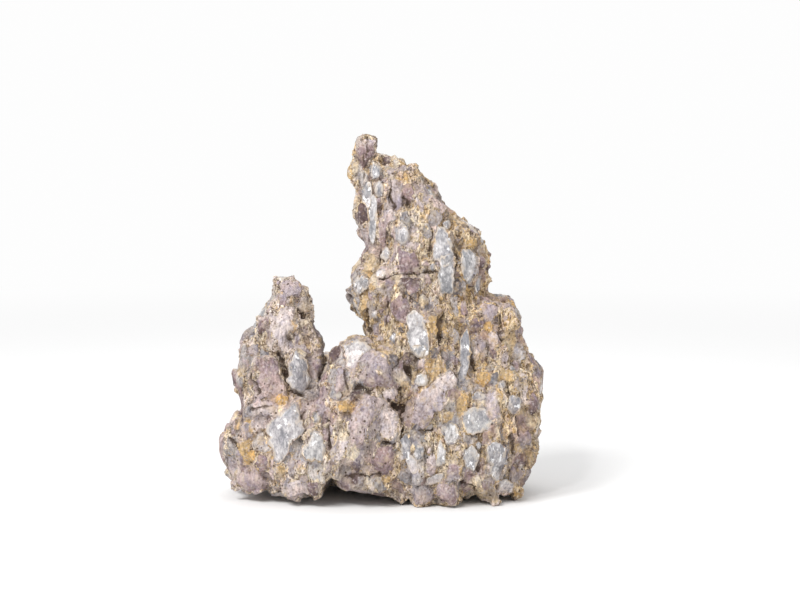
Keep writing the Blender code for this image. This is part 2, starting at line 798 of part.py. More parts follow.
def slice_feet_flat(body):
    """Slice the feet off level with the floor and close the cuts."""
    bm = bmesh.new()
    bm.from_mesh(body.data)
    keep_largest_body(bm)
    everything = list(bm.verts) + list(bm.edges) + list(bm.faces)
    bmesh.ops.bisect_plane(
        bm, geom=everything, dist=0.02, plane_co=(0, 0, 0), plane_no=(0, 0, 1), clear_inner=True
    )
    rims = [edge for edge in bm.edges if edge.is_boundary]
    bmesh.ops.holes_fill(bm, edges=rims)
    bmesh.ops.triangulate(bm, faces=bm.faces)
    keep_largest_body(bm)
    bmesh.ops.recalc_face_normals(bm, faces=bm.faces)
    bm.to_mesh(body.data)
    bm.free()


def settle_in_metres(body):
    """Centre the stone over the origin, in metres."""
    corners = [Vector(corner) for corner in body.bound_box]
    middle_x = (min(c.x for c in corners) + max(c.x for c in corners)) / 2
    middle_y = (min(c.y for c in corners) + max(c.y for c in corners)) / 2
    shift = Matrix.Translation((-middle_x, -middle_y, 0))
    body.data.transform(Matrix.Scale(METRES_PER_MM, 4) @ shift)
    print(f"shift to the middle: {-middle_x:.2f}, {-middle_y:.2f} mm")


def stone_material():
    """Plain matt stone."""
    material = bpy.data.materials.new("breccia")
    material.use_nodes = True
    shader = material.node_tree.nodes["Principled BSDF"]
    shader.inputs["Base Color"].default_value = STONE_COLOUR
    shader.inputs["Roughness"].default_value = 0.85
    shader.inputs["Metallic"].default_value = 0.0
    return material


def main():
    clear_scene()
    body = build_masses()
    weather_masses(body)
    add_fragments(body)
    cut_creases(body)
    roughen(body)
    simplify(body)
    slice_feet_flat(body)
    settle_in_metres(body)
    body.data.materials.clear()
    body.data.materials.append(stone_material())
    body.data.shade_smooth()
    body.data.set_sharp_from_angle(angle=math.radians(SHARP_ANGLE))


main()
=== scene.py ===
# %% [markdown]
# # An ibigawa rock
# The real rock is a breccia: a broken stone that nature has cemented together again. Angular fragments
# of grey-blue quartz and mauve rock stand on end in a gritty ground of ochre, cream and brown grains.
# This lesson dresses a plain solid of that rock. It keeps the solid's form and adds, in this order,
# a fine skin, the fragments, the grains between them, and their finishes.

import itertools
import math
import random

import bpy
import numpy as np
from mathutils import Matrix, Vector, noise
from mathutils.bvhtree import BVHTree


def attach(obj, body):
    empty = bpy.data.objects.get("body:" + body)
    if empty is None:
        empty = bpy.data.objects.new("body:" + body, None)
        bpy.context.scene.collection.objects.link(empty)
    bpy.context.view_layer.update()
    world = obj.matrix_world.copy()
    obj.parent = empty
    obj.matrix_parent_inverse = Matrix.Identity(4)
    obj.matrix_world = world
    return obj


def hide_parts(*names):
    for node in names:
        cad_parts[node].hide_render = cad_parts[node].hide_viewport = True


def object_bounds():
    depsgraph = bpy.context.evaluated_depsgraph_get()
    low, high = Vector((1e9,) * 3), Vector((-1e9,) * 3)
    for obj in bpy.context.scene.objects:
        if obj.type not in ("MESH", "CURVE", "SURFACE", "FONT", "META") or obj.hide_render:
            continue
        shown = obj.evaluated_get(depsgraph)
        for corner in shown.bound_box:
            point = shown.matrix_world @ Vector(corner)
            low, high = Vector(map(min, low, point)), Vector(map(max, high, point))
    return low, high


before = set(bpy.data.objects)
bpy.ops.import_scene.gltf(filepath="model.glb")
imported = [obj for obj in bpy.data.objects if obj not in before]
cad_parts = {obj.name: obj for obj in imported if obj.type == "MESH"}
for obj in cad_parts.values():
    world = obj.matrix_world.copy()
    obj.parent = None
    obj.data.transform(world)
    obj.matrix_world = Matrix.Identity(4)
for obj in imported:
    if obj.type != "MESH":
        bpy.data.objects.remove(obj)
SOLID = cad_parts["ibigawa_rock"]
CAD_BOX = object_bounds()
MM = 0.001
SEED = 7
print("solid's box in millimetres", [[round(v / MM, 1) for v in corner] for corner in CAD_BOX])

# %% [markdown]
# ## The camera
# The photograph was taken from straight ahead and a little above, with a long lens. The same place of the
# eye serves twice: for the camera here, and later to put each fragment where the photograph shows it.
# Places in the photograph are called drawn places: x to the right and height upwards, in millimetres.

# %% Set up the camera and the lines of sight
SIGHT_DROP = math.radians(6.5)
SIGHT_DISTANCE = 1400.0
SIGHT_CENTRE = Vector((12.57, 3.03, 127.2))
DRAWING_CENTRE = (13.0, 135.0)
LENS = 94.03
AHEAD = Vector((0, math.cos(SIGHT_DROP), -math.sin(SIGHT_DROP)))
UPWARDS = Vector((0, math.sin(SIGHT_DROP), math.cos(SIGHT_DROP)))
EYE = SIGHT_CENTRE - AHEAD * SIGHT_DISTANCE


def look_along(thing, direction):
    """Turn a camera or a lamp to look in a direction."""
    thing.rotation_mode = "QUATERNION"
    thing.rotation_quaternion = direction.to_track_quat("-Z", "Y")


def add_to_scene(name, data):
    """Put new data in the scene as an object."""
    made = bpy.data.objects.new(name, data)
    bpy.context.scene.collection.objects.link(made)
    return made


def sight_line(x, height):
    """The direction in which the eye sees a drawn place."""
    across = Vector((x - DRAWING_CENTRE[0], 0, 0))
    target = SIGHT_CENTRE + across + UPWARDS * (height - DRAWING_CENTRE[1])
    return (target - EYE).normalized()


def drawn_places(points):
    """The drawn places of an array of points in millimetres."""
    offset = points - np.array(SIGHT_CENTRE)
    scale = SIGHT_DISTANCE / (SIGHT_DISTANCE + offset @ np.array(AHEAD))
    x = DRAWING_CENTRE[0] + offset[:, 0] * scale
    height = DRAWING_CENTRE[1] + offset @ np.array(UPWARDS) * scale
    return x, height


camera = add_to_scene("camera", bpy.data.cameras.new("camera"))
camera.data.lens = LENS
camera.data.sensor_width = 36
camera.data.clip_start = 0.05
camera.location = EYE * MM
look_along(camera, AHEAD)
bpy.context.scene.camera = camera
print("eye at", [round(v) for v in EYE], "mm")

# %% [markdown]
# ## Light and floor
# The photograph is a bright studio picture: white all around, soft light from above and the left, and a faint
# shadow under the stone. A white world gives the even part and two large lamps give the direction.
# The floor turns into the world's white with distance, so that no horizon shows.

# %% Light the studio and lay the floor
WORLD_STRENGTH = 0.68
SEEN_WHITE = 0.985
LAMPS = (
    ("key_lamp", (-0.75, -0.85, 1.25), 0.5, 18.0),
    ("fill_lamp", (1.1, -0.9, 0.6), 1.2, 3.0),
    ("top_lamp", (0.15, 0.5, 1.3), 1.0, 6.0),
    ("glint_lamp", (-0.35, -1.0, 1.0), 0.10, 3.6),
)
FLOOR_RADIUS = 9.0
FLOOR_COLOUR = (0.83, 0.83, 0.83, 1)
FADE_FROM = 0.35
FADE_TO = 1.4


def new_material(name):
    """A node material, its node tree and its shader."""
    material = bpy.data.materials.new(name)
    material.use_nodes = True
    tree = material.node_tree
    return material, tree, tree.nodes["Principled BSDF"]


def add_node(tree, kind, **values):
    """Add a node, and set what is named: a socket by its label, or else a property."""
    node = tree.nodes.new(kind)
    for label, value in values.items():
        if label in node.inputs:
            node.inputs[label].default_value = value
        else:
            setattr(node, label, value)
    return node


def white_world():
    """A world that is plain white to the eye and a little dimmer as a light."""
    world = bpy.data.worlds.new("white_room")
    world.use_nodes = True
    tree = world.node_tree
    light = tree.nodes["Background"]
    light.inputs["Color"].default_value = (1, 1, 1, 1)
    light.inputs["Strength"].default_value = WORLD_STRENGTH
    seen = add_node(tree, "ShaderNodeBackground", Color=(1, 1, 1, 1), Strength=SEEN_WHITE)
    rays = add_node(tree, "ShaderNodeLightPath")
    mix = add_node(tree, "ShaderNodeMixShader")
    tree.links.new(rays.outputs["Is Camera Ray"], mix.inputs[0])
    tree.links.new(light.outputs[0], mix.inputs[1])
    tree.links.new(seen.outputs[0], mix.inputs[2])
    tree.links.new(mix.outputs[0], tree.nodes["World Output"].inputs["Surface"])
    return world


def floor_material():
    """Pale matt paper near the stone that turns into the white of the room further out."""
    material, tree, shader = new_material("pale_floor")
    shader.inputs["Base Color"].default_value = FLOOR_COLOUR
    shader.inputs["Roughness"].default_value = 0.9
    shader.inputs["Specular IOR Level"].default_value = 0.1
    place = add_node(tree, "ShaderNodeTexCoord")
    length = add_node(tree, "ShaderNodeVectorMath", operation="LENGTH")
    fade = add_node(tree, "ShaderNodeMapRange", interpolation_type="SMOOTHSTEP")
    fade.inputs["From Min"].default_value = FADE_FROM
    fade.inputs["From Max"].default_value = FADE_TO
    glow = add_node(tree, "ShaderNodeEmission", Color=(1, 1, 1, 1), Strength=SEEN_WHITE)
    mix = add_node(tree, "ShaderNodeMixShader")
    tree.links.new(place.outputs["Object"], length.inputs[0])
    tree.links.new(length.outputs["Value"], fade.inputs["Value"])
    tree.links.new(fade.outputs["Result"], mix.inputs[0])
    tree.links.new(shader.outputs[0], mix.inputs[1])
    tree.links.new(glow.outputs[0], mix.inputs[2])
    tree.links.new(mix.outputs[0], tree.nodes["Material Output"].inputs["Surface"])
    return material


scene = bpy.context.scene
scene.view_settings.view_transform = "Standard"
scene.world = white_world()
lit_place = Vector((0, 0, 0.11))
for name, place, size, power in LAMPS:
    lamp = add_to_scene(name, bpy.data.lights.new(name, "AREA"))
    lamp.data.size = size
    lamp.data.energy = power
    lamp.location = place
    look_along(lamp, lit_place - Vector(place))
rim = [
    (FLOOR_RADIUS * math.cos(math.tau * i / 64), FLOOR_RADIUS * math.sin(math.tau * i / 64), 0)
    for i in range(64)
]
floor_mesh = bpy.data.meshes.new("floor")
floor_mesh.from_pydata(rim, [], [tuple(range(64))])
floor = add_to_scene("floor", floor_mesh)
floor.data.materials.append(floor_material())
print("lamps", [name for name, *_ in LAMPS])

# %% [markdown]
# ## A fine skin
# The solid's triangles are four or five millimetres long. Its skin is made again from cubes a little over a
# millimetre wide, which is fine enough for the pits and small facets of a broken rock, and keeps the piece
# under 200,000 triangles. A copy is changed, never the solid itself.

# %% Make the fine skin
SKIN_VOXEL = 0.00137
SKIN_ROUNDS = 2


def points_of(mesh):
    """A mesh's points as an array in millimetres."""
    flat = np.empty(len(mesh.vertices) * 3)
    mesh.vertices.foreach_get("co", flat)
    return flat.reshape(-1, 3) / MM


def set_points(mesh, points):
    """Move a mesh's points to an array of places in millimetres."""
    mesh.vertices.foreach_set("co", (points * MM).ravel())
    mesh.update()


def normals_of(mesh):
    """The direction that each point of a mesh faces."""
    flat = np.empty(len(mesh.vertices) * 3)
    mesh.vertex_normals.foreach_get("vector", flat)
    return flat.reshape(-1, 3)


def edges_of(mesh):
    """Pairs of point numbers."""
    flat = np.empty(len(mesh.edges) * 2, dtype=np.int64)
    mesh.edges.foreach_get("vertices", flat)
    return flat.reshape(-1, 2)


def neighbour_mean(values, edges):
    """For each point, the mean of a value over its neighbours."""
    count = np.bincount(edges.ravel(), minlength=len(values))
    total = np.zeros_like(values)
    for column in range(values.shape[1]):
        for here, there in ((0, 1), (1, 0)):
            weights = values[edges[:, there], column]
            total[:, column] += np.bincount(edges[:, here], weights, minlength=len(values))
    return total / np.maximum(count, 1)[:, None]


def smoothed(values, edges, rounds, share=0.6):
    """Values after some rounds of moving each a share of the way to its neighbours' mean."""
    for _ in range(rounds):
        values = values + (neighbour_mean(values, edges) - values) * share
    return values


def fine_copy(source, name, voxel):
    """A copy of an object with a new skin made of cubes of one size."""
    made = add_to_scene(name, source.data.copy())
    made.data.name = name
    modifier = made.modifiers.new("fine skin", "REMESH")
    modifier.mode = "VOXEL"
    modifier.voxel_size = voxel
    graph = bpy.context.evaluated_depsgraph_get()
    mesh = bpy.data.meshes.new_from_object(made.evaluated_get(graph))
    made.modifiers.clear()
    made.data = mesh
    mesh.materials.clear()
    return made


ground = fine_copy(SOLID, "stone_ground", SKIN_VOXEL)
skin_edges = edges_of(ground.data)
skin = smoothed(points_of(ground.data), skin_edges, SKIN_ROUNDS)
set_points(ground.data, skin)
facing = normals_of(ground.data)
skin_faces = [tuple(face.vertices) for face in ground.data.polygons]
print("skin of", len(skin), "points and", len(skin_faces), "faces")

# %% [markdown]
# ## Tints
# A few names for the colours of the rock are enough. They are written as the part of red, green and blue light
# that the surface returns. They were first judged, and then adjusted until the mean brightness and colour
# of parts of the render came close to those of the same parts of the photograph.

# %% Name the tints
TINTS = {
    "quartz": (0.369, 0.354, 0.361),
    "ice": (0.486, 0.467, 0.471),
    "blue": (0.278, 0.278, 0.297),
    "grey": (0.345, 0.307, 0.296),
    "slate": (0.144, 0.128, 0.132),
    "lilac": (0.412, 0.351, 0.363),
    "mauve": (0.333, 0.242, 0.245),
    "plum": (0.116, 0.078, 0.078),
    "blush": (0.664, 0.580, 0.557),
    "rose": (0.527, 0.424, 0.413),
    "ochre": (0.580, 0.395, 0.180),
    "amber": (0.587, 0.365, 0.136),
    "tan": (0.560, 0.438, 0.280),
    "cream": (0.735, 0.640, 0.491),
}
GLASSY = ("quartz", "ice", "blue")
# Kinds of shard: how common each is on the left, and on the right and in the tower.
KIND_WEIGHTS = (
    ("quartz", 9, 11), ("ice", 6, 6), ("blue", 8, 15), ("grey", 7, 13), ("slate", 2, 5), ("lilac", 22, 11),
    ("mauve", 13, 12), ("plum", 4, 4), ("blush", 13, 8), ("rose", 13, 7), ("ochre", 1, 8), ("amber", 1, 2),
    ("tan", 3, 8), ("cream", 6, 6),
)
# Spots of grit of one tint: drawn place, radius in millimetres and tint.
GRIT_SPOTS = (
    (-86, 40, 13, "ochre"), (-66, 72, 7, "amber"), (-23, 67, 8, "amber"), (17, 221, 6, "amber"),
    (62, 170, 9, "ochre"), (66, 145, 8, "ochre"), (31, 160, 9, "cream"), (52, 190, 8, "ochre"),
    (-5, 125, 14, "tan"), (-12, 105, 8, "ochre"), (36, 118, 9, "ochre"), (18, 98, 10, "tan"),
    (48, 130, 9, "ochre"), (72, 120, 7, "amber"), (66, 98, 9, "ochre"), (82, 118, 9, "ochre"),
    (84, 88, 12, "tan"), (24, 80, 7, "amber"), (17, 62, 8, "ochre"), (20, 42, 9, "cream"),
    (10, 24, 8, "ochre"), (60, 70, 9, "ochre"), (84, 56, 8, "amber"), (80, 70, 10, "cream"),
    (66, 32, 10, "tan"), (98, 30, 8, "ochre"), (48, 62, 9, "cream"), (-60, 120, 13, "blush"),
    (-76, 118, 9, "cream"), (-88, 88, 9, "tan"), (-42, 100, 9, "tan"), (-52, 60, 8, "cream"),
    (-40, 20, 9, "cream"), (-22, 45, 11, "cream"), (-30, 72, 9, "rose"), (-10, 20, 10, "tan"),
    (-100, 30, 9, "cream"), (-92, 62, 9, "blush"), (5, 205, 9, "rose"), (30, 212, 9, "tan"),
    (-13, 228, 7, "tan"), (10, 228, 8, "cream"), (-12, 175, 7, "blush"), (25, 190, 8, "cream"),
    (-14, 160, 9, "tan"), (22, 138, 8, "lilac"), (60, 12, 9, "cream"), (30, 36, 7, "cream"),
)
# Masses of shards of one tint: drawn place, radius in millimetres and tint.
MASSES = (
    (62, 55, 15, "ice"), (35, 42, 13, "quartz"), (80, 32, 11, "grey"), (20, 22, 9, "ice"), (92, 52, 10, "mauve"),
    (102, 80, 9, "mauve"), (-60, 118, 14, "blush"), (-52, 148, 11, "rose"), (0, 95, 14, "lilac"),
    (-15, 62, 12, "lilac"), (5, 58, 11, "blush"), (-78, 84, 11, "mauve"), (-88, 14, 14, "rose"),
    (32, 70, 13, "rose"), (3, 135, 13, "grey"), (14, 120, 9, "slate"), (18, 163, 10, "mauve"),
    (-2, 190, 9, "rose"), (24, 207, 10, "lilac"), (30, 186, 9, "blush"), (76, 128, 10, "lilac"),
    (46, 160, 11, "quartz"), (-75, 55, 11, "blush"), (-50, 40, 11, "ice"), (-32, 88, 9, "lilac"),
    (-40, 62, 10, "mauve"), (70, 100, 12, "grey"), (92, 100, 9, "blush"), (20, 100, 9, "slate"),
    (60, 20, 11, "rose"), (35, 10, 10, "mauve"), (-20, 15, 12, "grey"), (0, 30, 9, "mauve"),
)
print(len(TINTS), "tints,", len(GRIT_SPOTS), "spots of grit and", len(MASSES), "masses")

# %% [markdown]
# ## A broken surface
# The rock is a mosaic. Shards that stand on end lie side by side, each with its own tint, height and slope, and
# where they have crumbled there are smaller chips and grit. The points of a shaken lattice divide the skin into
# such shares. The lattice is taller than wide, because the real rock's fabric stands on end.

# %% Divide the skin into shards, chips and grit
BITS = 2**64 - 1
REGIONS = ((24.0, 24.0, 32.0), 83)
SHARDS = ((10.0, 10.0, 20.0), 61)
CHIPS = ((3.8, 3.8, 8.5), 67)
CRUMBS = ((2.2, 2.2, 3.4), 37)
SHARD_SHARE = (0.82, 0.54)
CHIP_SHARE = 0.60
ALIKE = 0.55
BLENDED = 0.22
SHARD_STEP = 1.5
CHIP_STEP = 0.8
CRUMB_STEP = 0.45
TILT = 0.34
GRIT_BELOW = 0.7
PIT_LATTICE = ((5.0, 5.0, 6.5), 41)
PIT_DEPTH = 1.6
PIT_SHARE = 0.35
WARP = 1.0
DEEPEST = 4.5
SPIKE = 0.55


def chances(cells, number):
    """Three even random numbers for each cell of a lattice, always the same ones."""
    whole = cells.astype(np.uint64)
    mixed = whole[:, 0] * np.uint64(73856093)
    mixed ^= whole[:, 1] * np.uint64(19349663)
    mixed ^= whole[:, 2] * np.uint64(83492791)
    found = []
    for turn in range(3):
        step = (number * 3 + turn + 1) * 0x9E3779B97F4A7C15 & BITS
        stirred = mixed + np.uint64(step)
        stirred = (stirred ^ (stirred >> np.uint64(30))) * np.uint64(0xBF58476D1CE4E5B9)
        stirred = (stirred ^ (stirred >> np.uint64(27))) * np.uint64(0x94D049BB133111EB)
        stirred ^= stirred >> np.uint64(31)
        found.append((stirred >> np.uint64(11)).astype(float) / 2**53)
    return np.stack(found, axis=1)


def nearest_cells(points, size, number):
    """For each point: distance to the share's border in mm, offset from its middle, and two sets of chances."""
    size = np.array(size)
    scaled = points / size
    base = np.floor(scaled).astype(np.int64)
    first = np.full(len(points), 9.0)
    second = first.copy()
    middle = np.zeros_like(points)
    other = np.zeros_like(points)
    found = np.zeros(points.shape, dtype=np.int64)
    for step in itertools.product((-1, 0, 1), repeat=3):
        cell = base + np.array(step)
        centre = cell + chances(cell, number)
        distance = np.linalg.norm(scaled - centre, axis=1)
        closer = distance < first
        next_one = ~closer & (distance < second)
        other[closer] = middle[closer]
        second[closer] = first[closer]
        middle[closer] = centre[closer]
        first[closer] = distance[closer]
        found[closer] = cell[closer]
        other[next_one] = centre[next_one]
        second[next_one] = distance[next_one]
    apart = np.linalg.norm(other - middle, axis=1)
    border = (second**2 - first**2) / (2 * np.maximum(apart, 0.05)) * size.min()
    return border, (scaled - middle) * size, chances(found, number + 1), chances(found, number + 2)


def waves(points, density, shift=0.0):
    """Smooth noise between about -1 and 1 at each point."""
    places = (points * np.array(density) + shift).tolist()
    return np.array([noise.noise(place) for place in places])


def kept_in_box(points):
    """Points moved to inside the solid's box."""
    low, high = np.array(CAD_BOX) / MM
    return np.clip(points, low, high)


def without_spikes(points, edges):
    """Points of which none stands far from the middle of its neighbours."""
    for _ in range(2):
        middle = neighbour_mean(points, edges)
        away = points - middle
        length = np.linalg.norm(away, axis=1)[:, None]
        points = middle + away * np.minimum(1, SPIKE / np.maximum(length, 1e-6))
    return points


def kind_tints(draws, is_right):
    """The tints of random kinds, from even numbers between 0 and 1."""
    table = np.array([TINTS[name] for name, *_ in KIND_WEIGHTS])
    found = np.zeros((len(draws), 3))
    for side, chosen in ((1, ~is_right), (2, is_right)):
        weights = np.array([row[side] for row in KIND_WEIGHTS], dtype=float)
        limits = np.cumsum(weights) / weights.sum()
        found[chosen] = table[np.minimum(np.searchsorted(limits, draws[chosen]), len(table) - 1)]
    return found


def grit_tints(points):
    """The tint of the grit at each point, from the spots and from broad waves."""
    x, height = drawn_places(points)
    drift = waves(points, (0.045, 0.045, 0.03), 9.0)
    ochre_side = np.clip((x + 30) / 120 + drift * 1.3, 0, 1)[:, None]
    total = np.array(TINTS["cream"]) * (1 - ochre_side) + np.array(TINTS["ochre"]) * ochre_side
    paler = np.array(TINTS["rose"]) * (1 - ochre_side) + np.array(TINTS["tan"]) * ochre_side
    total = total * 0.5 + paler * 0.5
    weight = np.ones(len(points))
    total = total * weight[:, None]
    for spot_x, spot_height, radius, name in GRIT_SPOTS:
        near = 4 * np.exp(-((x - spot_x) ** 2 + (height - spot_height) ** 2) / radius**2)
        total += near[:, None] * np.array(TINTS[name])
        weight += near
    return total / weight[:, None]


def mass_tints(points, tints):
    """Tints with those of the listed masses where the points are near one."""
    x, height = drawn_places(points)
    nearest = np.full(len(points), 1.0)
    found = tints.copy()
    for mass_x, mass_height, radius, name in MASSES:
        away = np.hypot(x - mass_x, height - mass_height) / radius
        closer = (away < nearest) & (points[:, 1] < 20)
        found[closer] = TINTS[name]
        nearest[closer] = away[closer]
    return found


def share_plane(offset, traits, step):
    """How far the tilted face of a share stands out."""
    return (traits[:, 2] - 0.5) * 2 * step + np.sum(offset * (traits - 0.5), axis=1) * 2 * TILT


bent = skin + np.stack([waves(skin, (0.2, 0.2, 0.15), 3.0 + 17 * axis) for axis in range(3)], axis=1) * WARP
shard_border, shard_offset, shard_traits, shard_lot = nearest_cells(bent, *SHARDS)
chip_border, chip_offset, chip_traits, chip_lot = nearest_cells(bent, *CHIPS)
_, crumb_offset, crumb_traits, _ = nearest_cells(skin, *CRUMBS)
drawn_x, drawn_height = drawn_places(skin)
is_right = (drawn_x > 14) | (drawn_height > 110)
is_shard = shard_lot[:, 0] < np.where(is_right, SHARD_SHARE[1], SHARD_SHARE[0])
is_chip = ~is_shard & (chip_lot[:, 0] < CHIP_SHARE)
border = np.where(is_shard, shard_border, np.where(is_chip, np.minimum(chip_border, 2.5), -1.5))
_, _, region_traits, _ = nearest_cells(bent, *REGIONS)
is_alike = np.where(is_shard, shard_traits[:, 0], chip_traits[:, 0]) < ALIKE
own_kind = np.where(is_shard, shard_lot[:, 1], chip_lot[:, 1])
grit = grit_tints(skin)
alike_tint = mass_tints(bent, kind_tints(region_traits[:, 1], is_right))
tint = np.where(is_alike[:, None], alike_tint, kind_tints(own_kind, is_right))
shade = 0.90 + 0.2 * np.where(is_shard, shard_lot[:, 2], chip_lot[:, 2])
tint = tint * shade[:, None]
gloss = (tint[:, 2] >= tint[:, 0] * 0.93).astype(float)
tint = tint * (1 - BLENDED) + grit * BLENDED
print("shards cover", round(is_shard.mean(), 2), "and chips", round(is_chip.mean(), 2), "of the skin")

# %% Push the skin out and in
# Deep cracks of the front: a drawn place, another one, half the width and the depth in millimetres.
CREASES = (
    (0, 153.5, 11, 156, 1.3, 4), (11, 156, 28, 157, 1.1, 3), (28, 157, 37, 158, 1.3, 4),
    (-9, 158, 0, 157, 1.1, 2), (41, 130, 39.5, 109, 1.7, 4), (5, 219, 9, 201, 1.6, 4),
    (15, 208, 19, 202, 1.3, 4), (15, 112, 12, 98, 1.6, 3), (16, 98, 20, 86, 1.6, 3), (12, 96, 9, 92, 1.6, 3),
    (-15, 81, -6, 78, 2.4, 5), (5, 71, 13, 67, 1.8, 4), (14, 80, 14, 44, 1.7, 4), (26, 51, 34, 52, 2.0, 4),
    (1, 43, 9, 42, 1.5, 3), (64, 38, 66, 24, 2.0, 3), (87, 48, 91, 34, 1.8, 3), (-69, 105, -62, 82, 1.8, 4),
    (-62, 79, -52, 76, 1.7, 4), (-38, 104, -41, 80, 2.0, 4), (-54, 132, -50, 122, 2.0, 3),
    (-100, 47, -97, 41, 2.4, 4), (50, 96, 51, 106, 1.5, 3), (62, 103, 63, 92, 1.7, 3), (-10, 132, -8, 118, 1.8, 4),
    (-7, 232, -9, 227, 1.6, 3), (-9.5, 249, -8.5, 239, 1.6, 3), (-13, 238, -12, 230, 1.6, 2), (-36, 58, -34, 34, 1.6, 3), (-52, 64, -53, 44, 1.5, 3), (-22, 20, 0, 22, 1.8, 3),
    (53, 17, 62, 10, 1.8, 3), (5, 141, 4, 122, 1.4, 3), (-2, 172, -3, 160, 1.4, 3), (34, 186, 33, 168, 1.4, 3),
    (51, 170, 50, 154, 1.4, 3), (48, 122, 47, 108, 1.4, 3), (26, 104, 22, 98, 1.6, 3), (72, 108, 71, 96, 1.5, 3),
    (80, 128, 82, 110, 1.5, 3), (84, 84, 86, 62, 1.5, 3), (-24, 92, -22, 80, 1.4, 3), (-12, 58, -10, 44, 1.3, 3),
    (-86, 66, -72, 68, 1.5, 3), (36, 50, 35, 34, 1.5, 3), (92, 60, 93, 48, 1.5, 3), (-88, 92, -82, 76, 1.6, 3),
)
NARROWED = 0.5
CLEFT_DENSITY = (0.16, 0.16, 0.035)
CLEFT_DEPTH = (1.8, 3.0)
ROOM = 5.0


def crease_marks(points, outward):
    """How deep the listed cracks go at each point, in millimetres."""
    x, height = drawn_places(points)
    x = x + waves(points, (0.35, 0.35, 0.35), 51.0) * 1.2
    height = height + waves(points, (0.35, 0.35, 0.35), 57.0) * 1.2
    seen = np.clip(-(outward @ np.array(AHEAD)) * 3 + 0.3, 0, 1)
    depth = np.zeros(len(points))
    for x1, height1, x2, height2, half, deep in CREASES:
        along = (x2 - x1, height2 - height1)
        share = ((x - x1) * along[0] + (height - height1) * along[1]) / (along[0] ** 2 + along[1] ** 2)
        share = np.clip(share, 0, 1)
        away = np.hypot(x - x1 - share * along[0], height - height1 - share * along[1])
        depth = np.maximum(depth, deep * np.clip(1.5 - away / (half * NARROWED), 0, 1))
    return depth * seen


pit_border, pit_offset, _, pit_lot = nearest_cells(skin, *PIT_LATTICE)
pit_reach = np.clip(1 - np.linalg.norm(pit_offset / (1.7, 1.7, 3.4), axis=1), 0, 1)
pit = np.sqrt(pit_reach) * (pit_lot[:, 0] < PIT_SHARE) * np.where(is_shard, 0.25, 1.0)
calm = smoothed(skin, skin_edges, 40)
hollow = np.sum((calm - skin) * facing, axis=1)
relief = share_plane(shard_offset, shard_traits, SHARD_STEP)
relief += share_plane(chip_offset, chip_traits, CHIP_STEP) * np.where(is_shard, 0.35, 1.0)
relief += share_plane(crumb_offset, crumb_traits, CRUMB_STEP) * np.where(border > 0.8, 0.5, 1.0)
relief -= np.where(border < 0, GRIT_BELOW, 0) + pit * PIT_DEPTH
below_finger = np.clip((228 - skin[:, 2]) / 12, 0, 1)
relief += waves(skin, (0.30, 0.30, 0.07), 5.0) * np.where(is_right, 1.7, 0.9) * below_finger
relief += waves(skin, (0.12, 0.12, 0.025), 25.0) * np.where(is_right, 1.8, 1.0) * below_finger
crease = crease_marks(skin, facing)
cleft = np.clip(1 - np.abs(waves(skin, CLEFT_DENSITY, 31.0)) * 9, 0, 1)
cleft *= np.clip(waves(skin, (0.06, 0.06, 0.04), 37.0) * 4 + 0.3, 0, 1)
relief = smoothed(relief[:, None], skin_edges, 1, 0.35)[:, 0] - crease
relief -= cleft * np.where(is_right, CLEFT_DEPTH[1], CLEFT_DEPTH[0])
relief = np.maximum(relief, -DEEPEST)
relief *= np.clip((skin[:, 2] - 0.3) / 3.0, 0, 1)
low, high = np.array(CAD_BOX) / MM
room = np.minimum(skin - low, high - skin).min(axis=1)
relief = np.where(relief > 0, relief * np.clip(room / ROOM, 0, 1), relief)
broken = kept_in_box(without_spikes(skin + facing * relief[:, None], skin_edges))
broken_tree = BVHTree.FromPolygons(broken.tolist(), skin_faces)
calm_tree = BVHTree.FromPolygons(smoothed(skin, skin_edges, 6).tolist(), skin_faces)
print("the skin moved from", round(relief.min(), 2), "to", round(relief.max(), 2), "mm")

# %% [markdown]
# ## Fragments
# Angular fragments of quartz and mauve rock make up half of the surface. Each one on the front has an outline
# read from the photograph, laid on the broken surface along the lines of sight, with a flat or slightly ridged
# top and a bevelled edge. Seen from the eye each fragment then sits where the photograph shows it, whatever the
# surface does in depth.

